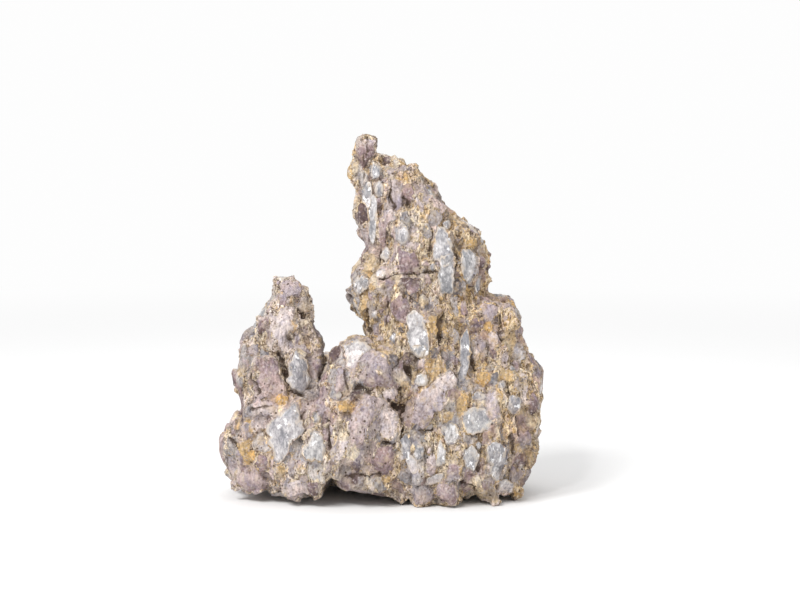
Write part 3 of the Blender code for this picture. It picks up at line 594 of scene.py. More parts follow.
# %% Say which tints and outlines the fragments have
# Upper tint, lower tint, and the corners of the outline as drawn places.
TOWER_OUTLINES = (
    ("blush", "mauve", (-16.4, 243.6), (-11.3, 249.8), (-5.1, 249.3), (-1, 244.7), (-5, 240), (-12, 238.5)),
    ("mauve", "plum", (-17.4, 236.5), (-16, 240), (-5, 241), (-1.5, 235.4), (-8.2, 232.9), (-11.8, 225.2)),
    ("blue", "blue", (-5.1, 231.8), (0, 226.7), (-1, 221.1), (-5.1, 220), (-7.7, 225.2)),
    ("quartz", "grey", (-1, 219), (2.1, 214.9), (1, 208.2), (-2.6, 208.2), (-4.1, 213.4)),
    ("blue", "grey", (-9.2, 218.5), (-6.2, 217.5), (-5.8, 205), (-8, 200), (-13.5, 207), (-12.3, 214)),
    ("quartz", "blue", (-5.6, 208.5), (-2.4, 204.5), (-2.4, 194.4), (-3.8, 176), (-7.1, 178), (-8.4, 198)),
    ("plum", "plum", (-17.9, 204.2), (-13.3, 204.7), (-9.7, 200.6), (-8.2, 191.4), (-13.8, 189.8), (-19, 199)),
    ("blush", "lilac", (4.6, 225.7), (8.7, 225.7), (10.3, 220), (14.9, 204.7), (14.3, 200.1), (9.7, 200.1), (6.6, 208.2)),
    ("lilac", "grey", (13.9, 229.3), (20.5, 230.3), (20.5, 225.2), (15.4, 225.2)),
    ("mauve", "mauve", (14.9, 215.5), (20.5, 218), (22.6, 209.8), (19.5, 203.1), (15.4, 206.7)),
    ("blush", "rose", (23.6, 207.2), (29.2, 202.6), (29.7, 197), (26.7, 196)),
    ("quartz", "quartz", (38.3, 188.1), (43, 185.1), (47.3, 177.4), (48.1, 166.3), (43, 161), (36.1, 167.2), (35.3, 172.7), (36.6, 183.4)),
    ("quartz", "blue", (40, 167), (48.1, 169), (49.4, 157.8), (48.1, 142), (39.6, 142), (38.7, 153.5)),
    ("blue", "quartz", (54.9, 172.3), (60.9, 171.5), (64.3, 166.3), (64.3, 157.8), (59.2, 148.3), (55.8, 153.5), (53.7, 162)),
    ("ochre", "ochre", (55.3, 178.3), (62.2, 180), (64.3, 174.9), (59.2, 172.7)),
    ("slate", "slate", (49.4, 151.8), (54.1, 151.4), (52.8, 142), (49.8, 142)),
    ("blush", "rose", (16.9, 177.1), (25.1, 177.1), (24.6, 172.5), (17.4, 172.5)),
    ("mauve", "mauve", (10.8, 173.5), (20, 172), (26.1, 167.4), (25.6, 156.1), (13.3, 156.1), (10.8, 164.3)),
    ("ice", "quartz", (4.1, 174.6), (6.6, 170.5), (4.1, 164.4), (0, 168.4)),
    ("blue", "grey", (-11.3, 157.2), (-8.2, 153), (-9.2, 146.9), (-15.9, 141.3), (-19, 147.9), (-17.9, 152)),
    ("plum", "mauve", (13.9, 153), (26.7, 153), (25.1, 146.4), (20.5, 142.8), (16.4, 146.9)),
)
LEFT_OUTLINES = (
    ("mauve", "rose", (-72.7, 102.6), (-67.3, 90.8), (-64.7, 82.6), (-66.3, 77), (-71.9, 72.4), (-86.3, 72.9), (-86.8, 78), (-79.1, 97)),
    ("blue", "ice", (-57.1, 106.2), (-49.4, 97.5), (-47.6, 84.7), (-51.4, 77.5), (-57.1, 78.5), (-63.2, 86), (-59.1, 100)),
    ("blush", "blush", (-66.8, 131.3), (-57.6, 133.3), (-59.6, 124.1), (-64.7, 108.8), (-66.3, 98.5), (-68.3, 108.8), (-75.5, 120)),
    ("rose", "lilac", (-73, 153), (-66, 156), (-58, 155), (-49, 144), (-55, 141), (-62, 142), (-68, 147)),
    ("quartz", "ice", (-57.1, 69.4), (-53.7, 64.8), (-51.9, 50.4), (-60.1, 41.7), (-65.3, 32), (-69.3, 29.4), (-75, 47.4), (-74.7, 56.1)),
    ("ice", "ice", (-44.2, 50.9), (-39.1, 48.4), (-37.6, 39.2), (-38.1, 31), (-49.4, 31), (-52.9, 35.1), (-51.9, 40.2)),
    ("rose", "mauve", (-99.6, 20.2), (-90.4, 23.3), (-80.1, 19.7), (-74, 16.1), (-74.5, 8.9), (-83.2, 6.9), (-90.4, 11.5)),
    ("blush", "rose", (-61.7, 17.6), (-55, 18.1), (-47.8, 10.4), (-49.4, 4.3), (-61.7, 4.8), (-63.2, 11)),
    ("mauve", "plum", (-49.4, 17.1), (-42.2, 17.1), (-39.1, 8.9), (-43.2, 6.4), (-47.8, 8.9)),
)
MIDDLE_OUTLINES = (
    ("plum", "plum", (-36.2, 100.1), (-31.6, 106.3), (-26.4, 108.8), (-26.9, 104.2), (-30.5, 97), (-35.1, 96.5)),
    ("quartz", "blush", (-24.4, 107.8), (-18.2, 111.9), (-8.5, 110.3), (-6.4, 105.7), (-13.1, 101.1), (-17.7, 95), (-22.8, 93.9)),
    ("lilac", "lilac", (-5.4, 106.3), (3.8, 104.2), (6.4, 91.4), (0, 90), (-8, 96), (-14.1, 98)),
    ("lilac", "mauve", (-8.5, 94.5), (-1, 88.2), (7, 89.5), (11.5, 83.2), (5.4, 80.1), (-6.4, 79.1), (-18.7, 87.8)),
    ("lilac", "rose", (-28.5, 92.9), (-25.4, 92.4), (-22.3, 85.2), (-25.9, 76.5), (-30, 76), (-29.5, 85.2)),
    ("plum", "plum", (-21.3, 74), (-16.7, 77.5), (-12.1, 76), (-16.7, 70.9)),
    ("lilac", "rose", (-10.5, 74), (-3.9, 72.9), (-4.4, 60.6), (-8.5, 53.9), (-12.6, 41.1), (-19.8, 41.7), (-21.3, 55.5), (-15.1, 69.9)),
    ("blush", "rose", (0.8, 77), (9, 80.1), (13.1, 76), (12.5, 68), (5.4, 71.5), (2.3, 72.5)),
    ("blush", "blush", (3.3, 69.5), (9, 65.8), (12.5, 62.7), (12.5, 52.9), (7.4, 43.7), (1.8, 44.8), (-0.3, 50.4), (0.6, 63.2)),
    ("mauve", "mauve", (-1.3, 40.8), (7.9, 40.3), (9, 29.5), (7.9, 23.4), (-0.3, 21.3), (-6.4, 29.5), (-5.4, 34.6)),
    ("lilac", "plum", (-14.1, 36.7), (-13.1, 31.6), (-14.6, 24.4), (-19.8, 28), (-16.7, 33.6)),
    ("rose", "lilac", (21.8, 57.6), (23.3, 65.2), (28, 66.5), (34.5, 64), (35.6, 60.6), (28.9, 52.9)),
    ("blush", "lilac", (22, 66), (25, 75), (34, 84.5), (46, 89), (50, 84), (45, 73), (41, 64), (33, 61), (26, 60)),
    ("blue", "quartz", (19.2, 107.3), (31, 108.8), (28.4, 100.6), (23.3, 101.6)),
    ("slate", "slate", (33.5, 106.3), (38.7, 105.7), (38.2, 99.6), (34.1, 100.1)),
    ("grey", "rose", (20.8, 13.1), (31, 14.1), (37.1, 7), (31, 2.3), (23.9, 1.3), (20.2, 6.4)),
)
RIGHT_OUTLINES = (
    ("blue", "blue", (57.8, 119.1), (59.8, 115), (60.1, 104.8), (58.8, 92.5), (56.7, 83.3), (50.1, 80.7), (53.7, 93.5), (53.1, 114.5)),
    ("lilac", "mauve", (104.4, 93.5), (109, 92.5), (110, 86.8), (108, 79.1), (103.4, 88.4)),
    ("mauve", "plum", (101.4, 76.6), (105.9, 74), (107.5, 63.8), (98.8, 62.2), (99.8, 69.9)),
    ("ice", "blue", (16.5, 127), (22, 130.5), (28, 127), (32, 116), (31.5, 104), (26, 99.5), (20, 103), (18.5, 113)),
    ("quartz", "ice", (54, 60), (61, 66.5), (70, 66), (75, 59), (72, 51.5), (62, 49), (55, 52)),
    ("blue", "ice", (71, 41), (77, 43.5), (84, 40), (84.5, 29), (78, 23.5), (72, 30)),
    ("quartz", "grey", (41, 53), (47, 57), (52, 53), (51, 43), (45, 41)),
    ("ice", "quartz", (55, 37), (61, 41), (66, 35), (63, 25), (57, 26)),
    ("ice", "quartz", (39.8, 44.4), (43.4, 37.8), (42.9, 29.1), (37.3, 27.5), (37.8, 36.2)),
    ("slate", "plum", (87.5, 48), (89, 41.4), (90.6, 34.7), (85, 42.9)),
    ("mauve", "grey", (93.7, 46.5), (101.4, 53.1), (104.9, 46.5), (96.7, 36.8), (92.6, 41.4)),
    ("mauve", "grey", (46, 27.5), (52.1, 27.5), (52.6, 17.3), (43.4, 16.3)),
    ("rose", "mauve", (37.3, 15.2), (51.6, 14.2), (53.1, 9), (50.1, 0.3), (40.9, 5), (37.3, 9.6)),
)

# Upper tint, lower tint, drawn place, half width, half height and lean in degrees.
LENSES = (
    ("amber", "ochre", 16.9, 220.6, 3, 3, 0),
    ("blush", "rose", 6.2, 195.4, 3, 4, 0),
    ("quartz", "ice", 14.2, 182, 4.4, 5.6, 0),
    ("rose", "mauve", 0.8, 186, 3.5, 12, -4),
    ("blue", "grey", 44.7, 189.8, 2.5, 3, 0),
    ("grey", "grey", 37, 194.1, 5, 5, 0),
    ("ice", "blush", -0.5, 156.6, 3, 3.5, 0),
    ("ochre", "ochre", 36.4, 122.3, 5, 7, 0),
    ("mauve", "mauve", 13, 134, 6, 9, 0),
    ("tan", "cream", -18, 227, 3, 5, 0),
    ("tan", "tan", -6, 163, 4, 5, 0),
    ("lilac", "grey", 35, 212, 3.5, 7, 10),
    ("rose", "blush", -78, 67, 8, 3.6, 0),
    ("lilac", "blush", -80, 57, 6, 5, 0),
    ("amber", "ochre", -86.5, 33, 3.2, 5, 8),
    ("blue", "grey", -96, 53, 3.5, 5, 0),
    ("mauve", "mauve", -80, 29, 5, 7, 0),
    ("ochre", "tan", -66.8, 25, 4, 4, 0),
    ("rose", "ochre", -55.5, 27.4, 3, 4, 0),
    ("lilac", "grey", -60, 25.8, 3, 6, 0),
    ("grey", "tan", -50, 136, 4, 6, 10),
    ("amber", "ochre", -66, 71.5, 4, 3, 0),
    ("mauve", "lilac", -40, 68, 4.5, 7, 0),
    ("grey", "tan", -93, 93, 3, 5, 0),
    ("grey", "lilac", -85, 105, 4, 6, 20),
    ("amber", "ochre", -23.3, 67.3, 5, 5, 0),
    ("cream", "cream", -18.7, 36.2, 3.5, 4, 0),
    ("ice", "quartz", 26.9, 84.7, 4, 4, 0),
    ("slate", "grey", 8.4, 96.5, 3.4, 6.5, 0),
    ("blush", "cream", 12, 88, 4.5, 4, 0),
    ("cream", "blush", -6.5, 14, 6.5, 1.6, 54),
    ("ochre", "ochre", 4.8, 18.2, 3, 2.6, 0),
    ("blue", "quartz", 16.6, 39.8, 3, 9, 0),
    ("blue", "slate", 25.4, 36.7, 3.5, 5, 0),
    ("ice", "blush", 21.8, 28, 3.2, 7, -15),
    ("grey", "quartz", 16.6, 20.3, 4.5, 5, 0),
    ("blush", "rose", 34.1, 28, 2.6, 9, 0),
    ("ice", "blush", 36.1, 18.4, 7, 2.6, -25),
    ("mauve", "mauve", 48.5, 75.6, 4.5, 4, 0),
    ("rose", "lilac", 72, 132, 7, 8, 0),
    ("blush", "rose", 75.2, 113, 4.5, 6, 0),
    ("slate", "blue", 75.7, 86.8, 3.6, 5, 0),
    ("mauve", "plum", 64.4, 122.2, 4.2, 6, 0),
    ("lilac", "lilac", 67, 107.9, 2.8, 3.5, 0),
    ("ochre", "amber", 68.5, 86.4, 5, 5, 0),
    ("amber", "ochre", 72.5, 120.5, 3, 3, 0),
    ("grey", "ice", 92.6, 103.8, 5, 6, 0),
    ("blush", "rose", 75.2, 67.3, 4, 8, 0),
    ("ice", "grey", 64.9, 74, 4, 3, 0),
    ("blue", "grey", 90, 68.4, 4, 6, 0),
    ("slate", "blue", 82.4, 36.8, 3, 5, 0),
    ("blue", "grey", 77.8, 24.5, 3.4, 7, 0),
    ("mauve", "grey", 91.1, 23.5, 5, 10, 0),
    ("mauve", "mauve", 58.3, 14.2, 4, 8, 0),
    ("cream", "tan", 64.9, 15.5, 4, 5, 0),
    ("grey", "mauve", 72.6, 15.7, 4.5, 4, 0),
    ("grey", "tan", 76.7, 7.5, 4, 6, 0),
    ("ice", "blush", 84, 13.7, 5, 5, 0),
    ("mauve", "grey", 5.5, 147, 3.5, 7, 0),
)
OUTLINES = TOWER_OUTLINES + LEFT_OUTLINES + MIDDLE_OUTLINES + RIGHT_OUTLINES
print(len(OUTLINES), "outlines and", len(LENSES), "lenses were read from the photograph")

# %% [markdown]
# A patch needs two things: a way to look at the stone, which turns a flat place into a line, and an outline
# that says how far the patch reaches in each direction. Fragments from the photograph are looked at along the
# lines of sight. The others, all round the stone, are looked at straight down onto the skin.

# %% Define the two ways to look and the outlines
class Sight:
    """Looking at the stone as the photograph does, around one drawn place."""

    def __init__(self, x, height):
        self.x = x
        self.height = height

    def line(self, u, v):
        """Where the look starts and its direction."""
        return EYE, sight_line(self.x + u, self.height + v)

    def place(self, points):
        """Flat places and depths of an array of points."""
        x, height = drawn_places(points)
        return x - self.x, height - self.height, np.linalg.norm(points - np.array(EYE), axis=1)

    def lines_to(self, points):
        """The direction of the look at each point."""
        away = points - np.array(EYE)
        return away / np.linalg.norm(away, axis=1)[:, None]


class Overhead:
    """Looking straight down onto one place of the skin from a set height above it."""

    ABOVE = 14.0

    def __init__(self, centre, outward, lean):
        self.down = -outward.normalized()
        upright = Vector((0, 0, 1)) if abs(outward.z) < 0.9 else Vector((0, 1, 0))
        side = upright.cross(outward).normalized()
        ahead = outward.normalized().cross(side)
        self.side = side * math.cos(lean) + ahead * math.sin(lean)
        self.ahead = ahead * math.cos(lean) - side * math.sin(lean)
        self.start = centre - self.down * self.ABOVE

    def line(self, u, v):
        """Where the look starts and its direction."""
        return self.start + self.side * u + self.ahead * v, self.down

    def place(self, points):
        """Flat places and depths of an array of points."""
        away = points - np.array(self.start)
        return away @ np.array(self.side), away @ np.array(self.ahead), away @ np.array(self.down)

    def lines_to(self, points):
        """The direction of the look at each point."""
        return np.tile(np.array(self.down), (len(points), 1))


def outline_reach(corners, angles):
    """How far a closed outline lies from the origin in each direction."""
    reach = np.full(len(angles), 1e9)
    ways = np.stack([np.cos(angles), np.sin(angles)], axis=1)
    for here, there in zip(corners, corners[1:] + corners[:1]):
        side = (there[0] - here[0], there[1] - here[1])
        cross = ways[:, 0] * side[1] - ways[:, 1] * side[0]
        cross = np.where(np.abs(cross) < 1e-9, 1e-9, cross)
        distance = (here[0] * side[1] - here[1] * side[0]) / cross
        along = (here[0] * ways[:, 1] - here[1] * ways[:, 0]) / cross
        hit = (distance > 0) & (along >= -1e-6) & (along <= 1 + 1e-6)
        reach = np.where(hit & (distance < reach), distance, reach)
    return np.where(reach > 1e8, np.median(reach), reach)


def lens_corners(half_width, half_height, lean, number):
    """Corners of a rough lens or block that stands on end."""
    chooser = random.Random(number)
    count = chooser.choice((4, 5, 6, 7))
    turn = math.radians(lean)
    corners = []
    for i in range(count):
        angle = math.tau * (i + 0.5 + chooser.uniform(-0.3, 0.3)) / count
        size = chooser.uniform(0.95, 1.3)
        u = half_width * math.cos(angle) * size
        v = half_height * math.sin(angle) * size
        corners.append((u * math.cos(turn) + v * math.sin(turn), v * math.cos(turn) - u * math.sin(turn)))
    return corners


# %% [markdown]
# The patch itself is a fan of rings. Its base follows the surface as a smooth sheet, a few slanted planes over
# it give the flat faces, and the last ring goes under the surface. A small skirt and a point behind it close it.

# %% Shape one fragment and make its patch
SPOKE_GAP = 1.1
RING_GAP = 1.0
SUNK = 0.7
BACK = 2.6
STEEPEST = 2.6
ALLOWED = 0.8
GROWN = 0.7


def cast(view, flat_u, flat_v, tree):
    """Depths of a surface under an array of flat places, or nan where nothing is hit."""
    depths = np.full(flat_u.shape, np.nan)
    for index in np.ndindex(flat_u.shape):
        start, way = view.line(flat_u[index], flat_v[index])
        hit = tree.ray_cast(start, way)
        if hit[0] is not None:
            depths[index] = hit[3]
    return depths


def sheet_terms(u, v):
    """The terms of a gently curved sheet."""
    return np.stack([np.ones_like(u), u, v, u * u, u * v, v * v], axis=-1)


def fitted_sheet(u, v, depths, size):
    """The gently curved sheet that follows most of the depths, as its six numbers."""
    known = ~np.isnan(depths)
    terms = sheet_terms(u[known] / size, v[known] / size)
    values = depths[known]
    weights = np.ones(len(values))
    for _ in range(4):
        ridge = np.diag([0, 0.01, 0.01, 0.5, 0.5, 0.5]) * len(values) * 0.02
        matrix = terms.T @ (terms * weights[:, None]) + ridge
        numbers = np.linalg.solve(matrix, terms.T @ (values * weights))
        weights = 1 / (1 + ((values - terms @ numbers) / 0.9) ** 2)
    return numbers


def trimmed(reach, depths, rings):
    """A reach that ends before the surface does, or before it jumps to another depth."""
    kept = np.ones(len(reach))
    for spoke in range(len(reach)):
        last = len(rings) - 1
        for ring in range(1, len(rings)):
            here, before = depths[ring, spoke], depths[ring - 1, spoke]
            allowed = ALLOWED + STEEPEST * (rings[ring] - rings[ring - 1]) * reach[spoke]
            if np.isnan(here) or (not np.isnan(before) and abs(here - before) > allowed):
                last = ring - 1
                break
        if last < len(rings) - 1:
            kept[spoke] = max(rings[last] * 0.97, 0.08)
    for _ in range(6):
        near = np.minimum(np.roll(kept, 1), np.roll(kept, -1))
        kept = np.minimum(kept, near + 0.12)
    return reach * kept


def round_noise(angles, times, number):
    """Noise that closes on itself round a circle."""
    places = [(times * math.cos(a), times * math.sin(a), number * 1.7) for a in angles]
    return np.array([noise.noise(place) for place in places])


def flat_noise(u, v, number):
    """Upright grooves over a flat patch."""
    values = np.zeros(u.shape)
    for index in np.ndindex(u.shape):
        place = (u[index] * 0.42, v[index] * 0.15, number * 1.3)
        values[index] = noise.noise(place) + 0.5 * noise.noise(tuple(4 * value for value in place))
    return values


def shape_of(view, corners, stand, number, coarse=1.0, ridged=0.2):
    """How one fragment lies: its reach, the sheet it follows and its faces, or None where no surface is found."""
    chooser = random.Random(number)
    size = float(np.mean([math.hypot(*corner) for corner in corners]))
    spokes = int(np.clip(math.tau * size / (SPOKE_GAP * coarse), 9, 72))
    count = int(np.clip(size / (RING_GAP * coarse), 2, 13))
    angles = np.arange(spokes) * math.tau / spokes
    rings = 1 - (1 - np.arange(count + 1) / count) ** 1.35
    reach = outline_reach(corners, angles) + GROWN
    for times, share in ((1.5, 0.15), (4.5, 0.16)):
        reach = reach * (1 + share * round_noise(angles, times, number))
    for _ in range(2):
        u = rings[:, None] * reach * np.cos(angles)
        v = rings[:, None] * reach * np.sin(angles)
        depths = cast(view, u, v, calm_tree)
        if np.isnan(depths[0, 0]) or np.isnan(depths).mean() > 0.6:
            return None
        trimmed_reach = trimmed(reach, depths, rings)
        if np.allclose(trimmed_reach, reach):
            break
        reach = trimmed_reach
    if reach.mean() < size * 0.45:
        return None
    planes = []
    for _ in range(3):
        way = chooser.uniform(0, math.tau)
        slope = chooser.uniform(0.3, 1.0) * ridged
        planes.append((stand * chooser.uniform(0.9, 1.3), slope * math.cos(way), slope * math.sin(way)))
    return {
        "view": view,
        "number": number,
        "angles": angles,
        "rings": rings,
        "reach": reach,
        "size": size,
        "sheet": fitted_sheet(u, v, depths, size),
        "planes": planes,
        "steep": chooser.uniform(0.6, 1.3) * (1 + 0.4 * round_noise(angles, 1.2, number + 0.5)),
        "centre": np.array(tuple(view.line(0, 0)[0] + view.line(0, 0)[1] * float(depths[0, 0]))),
    }


def round_value(shape, name, u, v):
    """A shape's value in the direction of each flat place."""
    angle = np.arctan2(v, u) % math.tau
    values = shape[name]
    return np.interp(angle, np.append(shape["angles"], math.tau), np.append(values, values[0]))


def edge_distance(shape, u, v):
    """How far inside the outline each flat place lies, in millimetres."""
    return round_value(shape, "reach", u, v) - np.hypot(u, v)


def sheet_depth(shape, u, v):
    """Depth of the sheet that the fragment follows."""
    return sheet_terms(u / shape["size"], v / shape["size"]) @ shape["sheet"]


def face_lift(shape, u, v, grooved):
    """How far the fragment's face stands out of its sheet."""
    top = np.full(u.shape, 9.0)
    for height, slope_u, slope_v in shape["planes"]:
        top = np.minimum(top, height + slope_u * u + slope_v * v)
    top = np.maximum(top, 0.2) + grooved * flat_noise(u, v, shape["number"])
    return np.minimum(top, edge_distance(shape, u, v) * round_value(shape, "steep", u, v) - 0.25)


def patch_of(shape, grooved=0.28):
    """The closed patch of a shape: its points, faces and how far each point lies from the rim."""
    view, angles, rings, reach = shape["view"], shape["angles"], shape["rings"], shape["reach"]
    spokes, count = len(angles), len(rings) - 1
    u = rings[:, None] * reach * np.cos(angles)
    v = rings[:, None] * reach * np.sin(angles)
    base = sheet_depth(shape, u, v)
    depth = base - face_lift(shape, u, v, grooved)
    rough_rim = cast(view, u[-1], v[-1], broken_tree)
    rim = np.where(np.isnan(rough_rim), base[-1], np.maximum(rough_rim, base[-1]))
    depth[-1] = np.minimum(rim, base[-1] + 2.5) + SUNK
    points = []
    for ring in range(count + 1):
        for spoke in range(spokes if ring else 1):
            start, way = view.line(u[ring, spoke], v[ring, spoke])
            points.append(start + way * float(depth[ring, spoke]))
    for spoke in range(spokes):
        start, way = view.line(u[-1, spoke] * 0.8, v[-1, spoke] * 0.8)
        points.append(start + way * float(depth[-1, spoke] + BACK))
    start, way = view.line(0, 0)
    points.append(start + way * float(max(depth[-1].max(), base[0, 0]) + BACK * 1.3))
    faces = []
    for spoke in range(spokes):
        after = (spoke + 1) % spokes
        faces.append((0, 1 + spoke, 1 + after))
        for ring in range(1, count + 1):
            inner, outer = 1 + (ring - 1) * spokes, 1 + ring * spokes
            faces.append((inner + spoke, outer + spoke, outer + after, inner + after))
        faces.append((len(points) - 1, 1 + count * spokes + after, 1 + count * spokes + spoke))
    border = (1 - rings[:, None]) * reach
    border = np.concatenate([[border[0].mean()], border[1:].ravel(), np.full(spokes + 1, -1.0)])
    height = np.concatenate([[0.0], v[1:].ravel(), v[-1], [0.0]]) / max(np.abs(v).max(), 0.1)
    return {"points": np.array([tuple(p) for p in points]), "faces": faces, "border": border, "height": height}


# %% [markdown]
# A fragment that was read from the photograph keeps its own outline. All others are lenses and blocks of the
# same kinds, largest at the back and the sides, where the photograph shows nothing, and small between the
# fragments of the front.

# %% Place the fragments
TRIES = 4600
FRONT_SKIPPED = 0.85
FLUSH = 0.3
RIDGED = (0.2, 0.1)
SHY = 2.0
LOWER_TINTS = {
    "quartz": "blue", "ice": "quartz", "blue": "grey", "grey": "lilac", "slate": "grey", "lilac": "mauve",
    "mauve": "plum", "plum": "mauve", "blush": "rose", "rose": "mauve", "ochre": "tan", "amber": "ochre",
    "tan": "cream", "cream": "tan",
}


def stand_of(size):
    """How far a fragment of some size stands out."""
    return float(np.clip(0.35 + 0.06 * size, 0.5, 1.2))


def read_fragments():
    """The shapes of the front's fragments, from the outlines and the lenses."""
    made = []
    for number, (upper, lower, *corners) in enumerate(OUTLINES):
        x = sum(corner[0] for corner in corners) / len(corners)
        height = sum(corner[1] for corner in corners) / len(corners)
        flat = [(corner[0] - x, corner[1] - height) for corner in corners]
        size = sum(math.hypot(*corner) for corner in flat) / len(flat)
        stand = FLUSH if upper in GLASSY else stand_of(size)
        made.append((shape_of(Sight(x, height), flat, stand, number, 1.0, RIDGED[upper in GLASSY]), upper, lower))
    for number, (upper, lower, x, height, wide, tall, lean) in enumerate(LENSES, 200):
        flat = lens_corners(wide, tall, lean, number)
        stand = FLUSH if upper in GLASSY else stand_of(math.sqrt(wide * tall))
        made.append((shape_of(Sight(x, height), flat, stand, number, 1.0, RIDGED[upper in GLASSY]), upper, lower))
    return made


def points_near(shape, points):
    """Which points lie near a fragment, their flat places, and how far each is behind the sheet."""
    away = np.linalg.norm(points - shape["centre"], axis=1)
    near = np.flatnonzero(away < shape["reach"].max() + 12)
    u, v, depth = shape["view"].place(points[near])
    return near, u, v, depth - sheet_depth(shape, u, v)


def mark_cover(shape, inside):
    """Write down how far inside this fragment the points of the skin lie."""
    near, u, v, below = points_near(shape, broken)
    edge = np.where(np.abs(below) < 7, edge_distance(shape, u, v), -99)
    inside[near] = np.maximum(inside[near], edge)


def scattered_fragments(inside):
    """Shapes of the same kinds where no other fragment lies, all round the stone."""
    chooser = random.Random(SEED)
    names = [name for name, *_ in KIND_WEIGHTS]
    weights = [row[1] + row[2] for row in KIND_WEIGHTS]
    toward_eye = -facing @ np.array(AHEAD)
    edge_seen = np.full(len(broken), -99.0)
    for shape, *_ in read:
        edge = edge_distance(shape, drawn_x - shape["view"].x, drawn_height - shape["view"].height)
        edge_seen = np.maximum(edge_seen, edge)
    shy = (edge_seen > -SHY) & (toward_eye > -0.35)
    made = []
    for turn in range(TRIES):
        index = chooser.randrange(len(broken))
        front = toward_eye[index] > 0.2
        if front and chooser.random() < FRONT_SKIPPED:
            continue
        late = turn / TRIES
        wide = chooser.uniform(1.4, 3.2) if front else chooser.uniform(1.8, 4.0) + 4.5 * max(0, 0.6 - late)
        tall = wide * chooser.uniform(1.2, 2.4)
        if shy[index] or inside[index] > -(wide * 0.75 + 0.6) or hollow[index] > 1.2 or broken[index, 2] < 5:
            continue
        flat = lens_corners(wide, tall, 0, turn + 1000)
        lean = math.radians(chooser.gauss(0, 22))
        view = Overhead(Vector(broken[index]), Vector(facing[index]), lean)
        size = math.sqrt(wide * tall)
        coarse = 1.9 if size < 4.5 else 1.3
        kind = chooser.choices(names, weights)[0]
        stand = FLUSH if kind in GLASSY else stand_of(size) * chooser.uniform(0.6, 1.6)
        shape = shape_of(view, flat, stand, turn + 1000, coarse, 0.25)
        if shape is None:
            continue
        made.append((shape, kind, LOWER_TINTS[kind]))
        mark_cover(shape, inside)
    return made


read = read_fragments()
lost = [number for number, (shape, *_) in enumerate(read) if shape is None]
read = [row for row in read if row[0] is not None]
inside = np.full(len(broken), -99.0)
for shape, *_ in read:
    mark_cover(shape, inside)
scattered = scattered_fragments(inside)
print(len(read), "fragments read,", lost, "lost,", len(scattered), "scattered")

# %% [markdown]
# All fragments are pressed into the ground itself, because on the real rock they have grown together with the
# grit: their faces flatten the ground and their tint replaces that of the mosaic. The quartz, and a few of the
# scattered dull ones, are closed patches of their own as well. The ground must not come through these, so it is
# pushed behind them, all but a ragged rim that creeps over their edges.

# %% Press the fragments into the ground and sink it behind the patches
SOCKET = 0.5
CRACK = 0.5
CREEP = 1.3
FLATTENED = 0.88
PROUD = 4


def tints_between(upper, lower, share):
    """Tints from an upper to a lower one, for shares between 0 and 1."""
    share = np.clip(share, 0, 1)[:, None]
    return np.array(TINTS[upper]) * (1 - share) + np.array(TINTS[lower]) * share


def press_in(points, shape, upper, lower):
    """Flatten the ground to a fragment's face and give it the fragment's tint."""
    near, u, v, below = points_near(shape, points)
    edge = edge_distance(shape, u, v)
    here = (np.abs(below) < 7) & (edge > -0.5)
    near, u, v, below, edge = near[here], u[here], v[here], below[here], edge[here]
    lines = shape["view"].lines_to(points[near])
    turned = np.clip(-np.sum(facing[near] * lines, axis=1) * 3 - 0.4, 0, 1)
    weight = np.clip((edge + 0.5) / 2.2, 0, 1) * FLATTENED * turned
    move = (-face_lift(shape, u, v, 0.3) - below) * weight
    points[near] += lines * move[:, None]
    inner = (edge > 0) & (np.sum(facing[near] * lines, axis=1) < 0.05)
    tall = np.abs(shape["reach"] * np.sin(shape["angles"])).max()
    wanted = tints_between(upper, lower, 0.5 - v / tall * 0.75)
    tint[near[inner]] = wanted[inner]
    gloss[near[inner]] = float(upper in GLASSY)
    border[near] = np.where(inner, edge, np.minimum(border[near], edge))


def sunk_behind(points, cracks, shape):
    """Push the ground behind a fragment that is a piece of its own, and groove it round the rim with a crack that the
    finish paints with shade.
    """
    near, u, v, below = points_near(shape, points)
    edge = edge_distance(shape, u, v)
    here = np.abs(below) < 7
    ragged = CREEP * (0.6 + waves(points[near], (0.55, 0.55, 0.4), shape["number"]))
    need = np.clip(SOCKET - below, 0, 8) * here * np.clip((edge - ragged) / 0.8, 0, 1)
    groove = CRACK * here * np.clip(1 - np.abs(edge + 0.1) / 1.3, 0, 1)
    groove *= np.clip(waves(points[near], (0.2, 0.2, 0.2), 3.0) * 3 + 0.4, 0, 1)
    # The groove is also kept as a crack that the finish paints with shade.
    cracks[near] = np.maximum(cracks[near], groove / CRACK)
    points[near] += shape["view"].lines_to(points[near]) * np.maximum(need, groove)[:, None]


sunk = broken.copy()
# How strongly each point is painted with shade as a crack: the creases, the upright clefts and the grooves round the
# fragments.
cracks = np.maximum(np.clip(crease / 1.5, 0, 2), np.clip(cleft, 0, 1))
pieces = [row for row in read if row[1] in GLASSY]
pieces += [row for row in scattered if row[1] in GLASSY or row[0]["number"] % PROUD == 0]
for shape, upper, lower in scattered + read:
    press_in(sunk, shape, upper, lower)
for shape, *_ in pieces:
    sunk_behind(sunk, cracks, shape)
sunk = kept_in_box(without_spikes(sunk, skin_edges))
set_points(ground.data, sunk)
print("ground moved by up to", round(float(np.linalg.norm(sunk - broken, axis=1).max()), 2), "mm")

# %% [markdown]
# ## Putting the fragments together
# Hundreds of objects would be slow to handle, so the fragments are joined in two: the glassy quartz and the matt
# rest. What differs from one fragment to the next, its tint and its rim, is kept with the points.

# %% Join the fragments into a glassy and a matt piece
def add_number(mesh, name, values):
    """Keep one number with each point of a mesh."""
    kept = mesh.attributes.new(name, "FLOAT", "POINT")
    kept.data.foreach_set("value", np.asarray(values, dtype=float))


def add_tint(mesh, name, tints):
    """Keep a colour with each point of a mesh."""
    kept = mesh.attributes.new(name, "FLOAT_COLOR", "POINT")
    full = np.ones((len(tints), 4))
    full[:, :3] = np.clip(tints, 0, 1)
    kept.data.foreach_set("color", full.ravel())


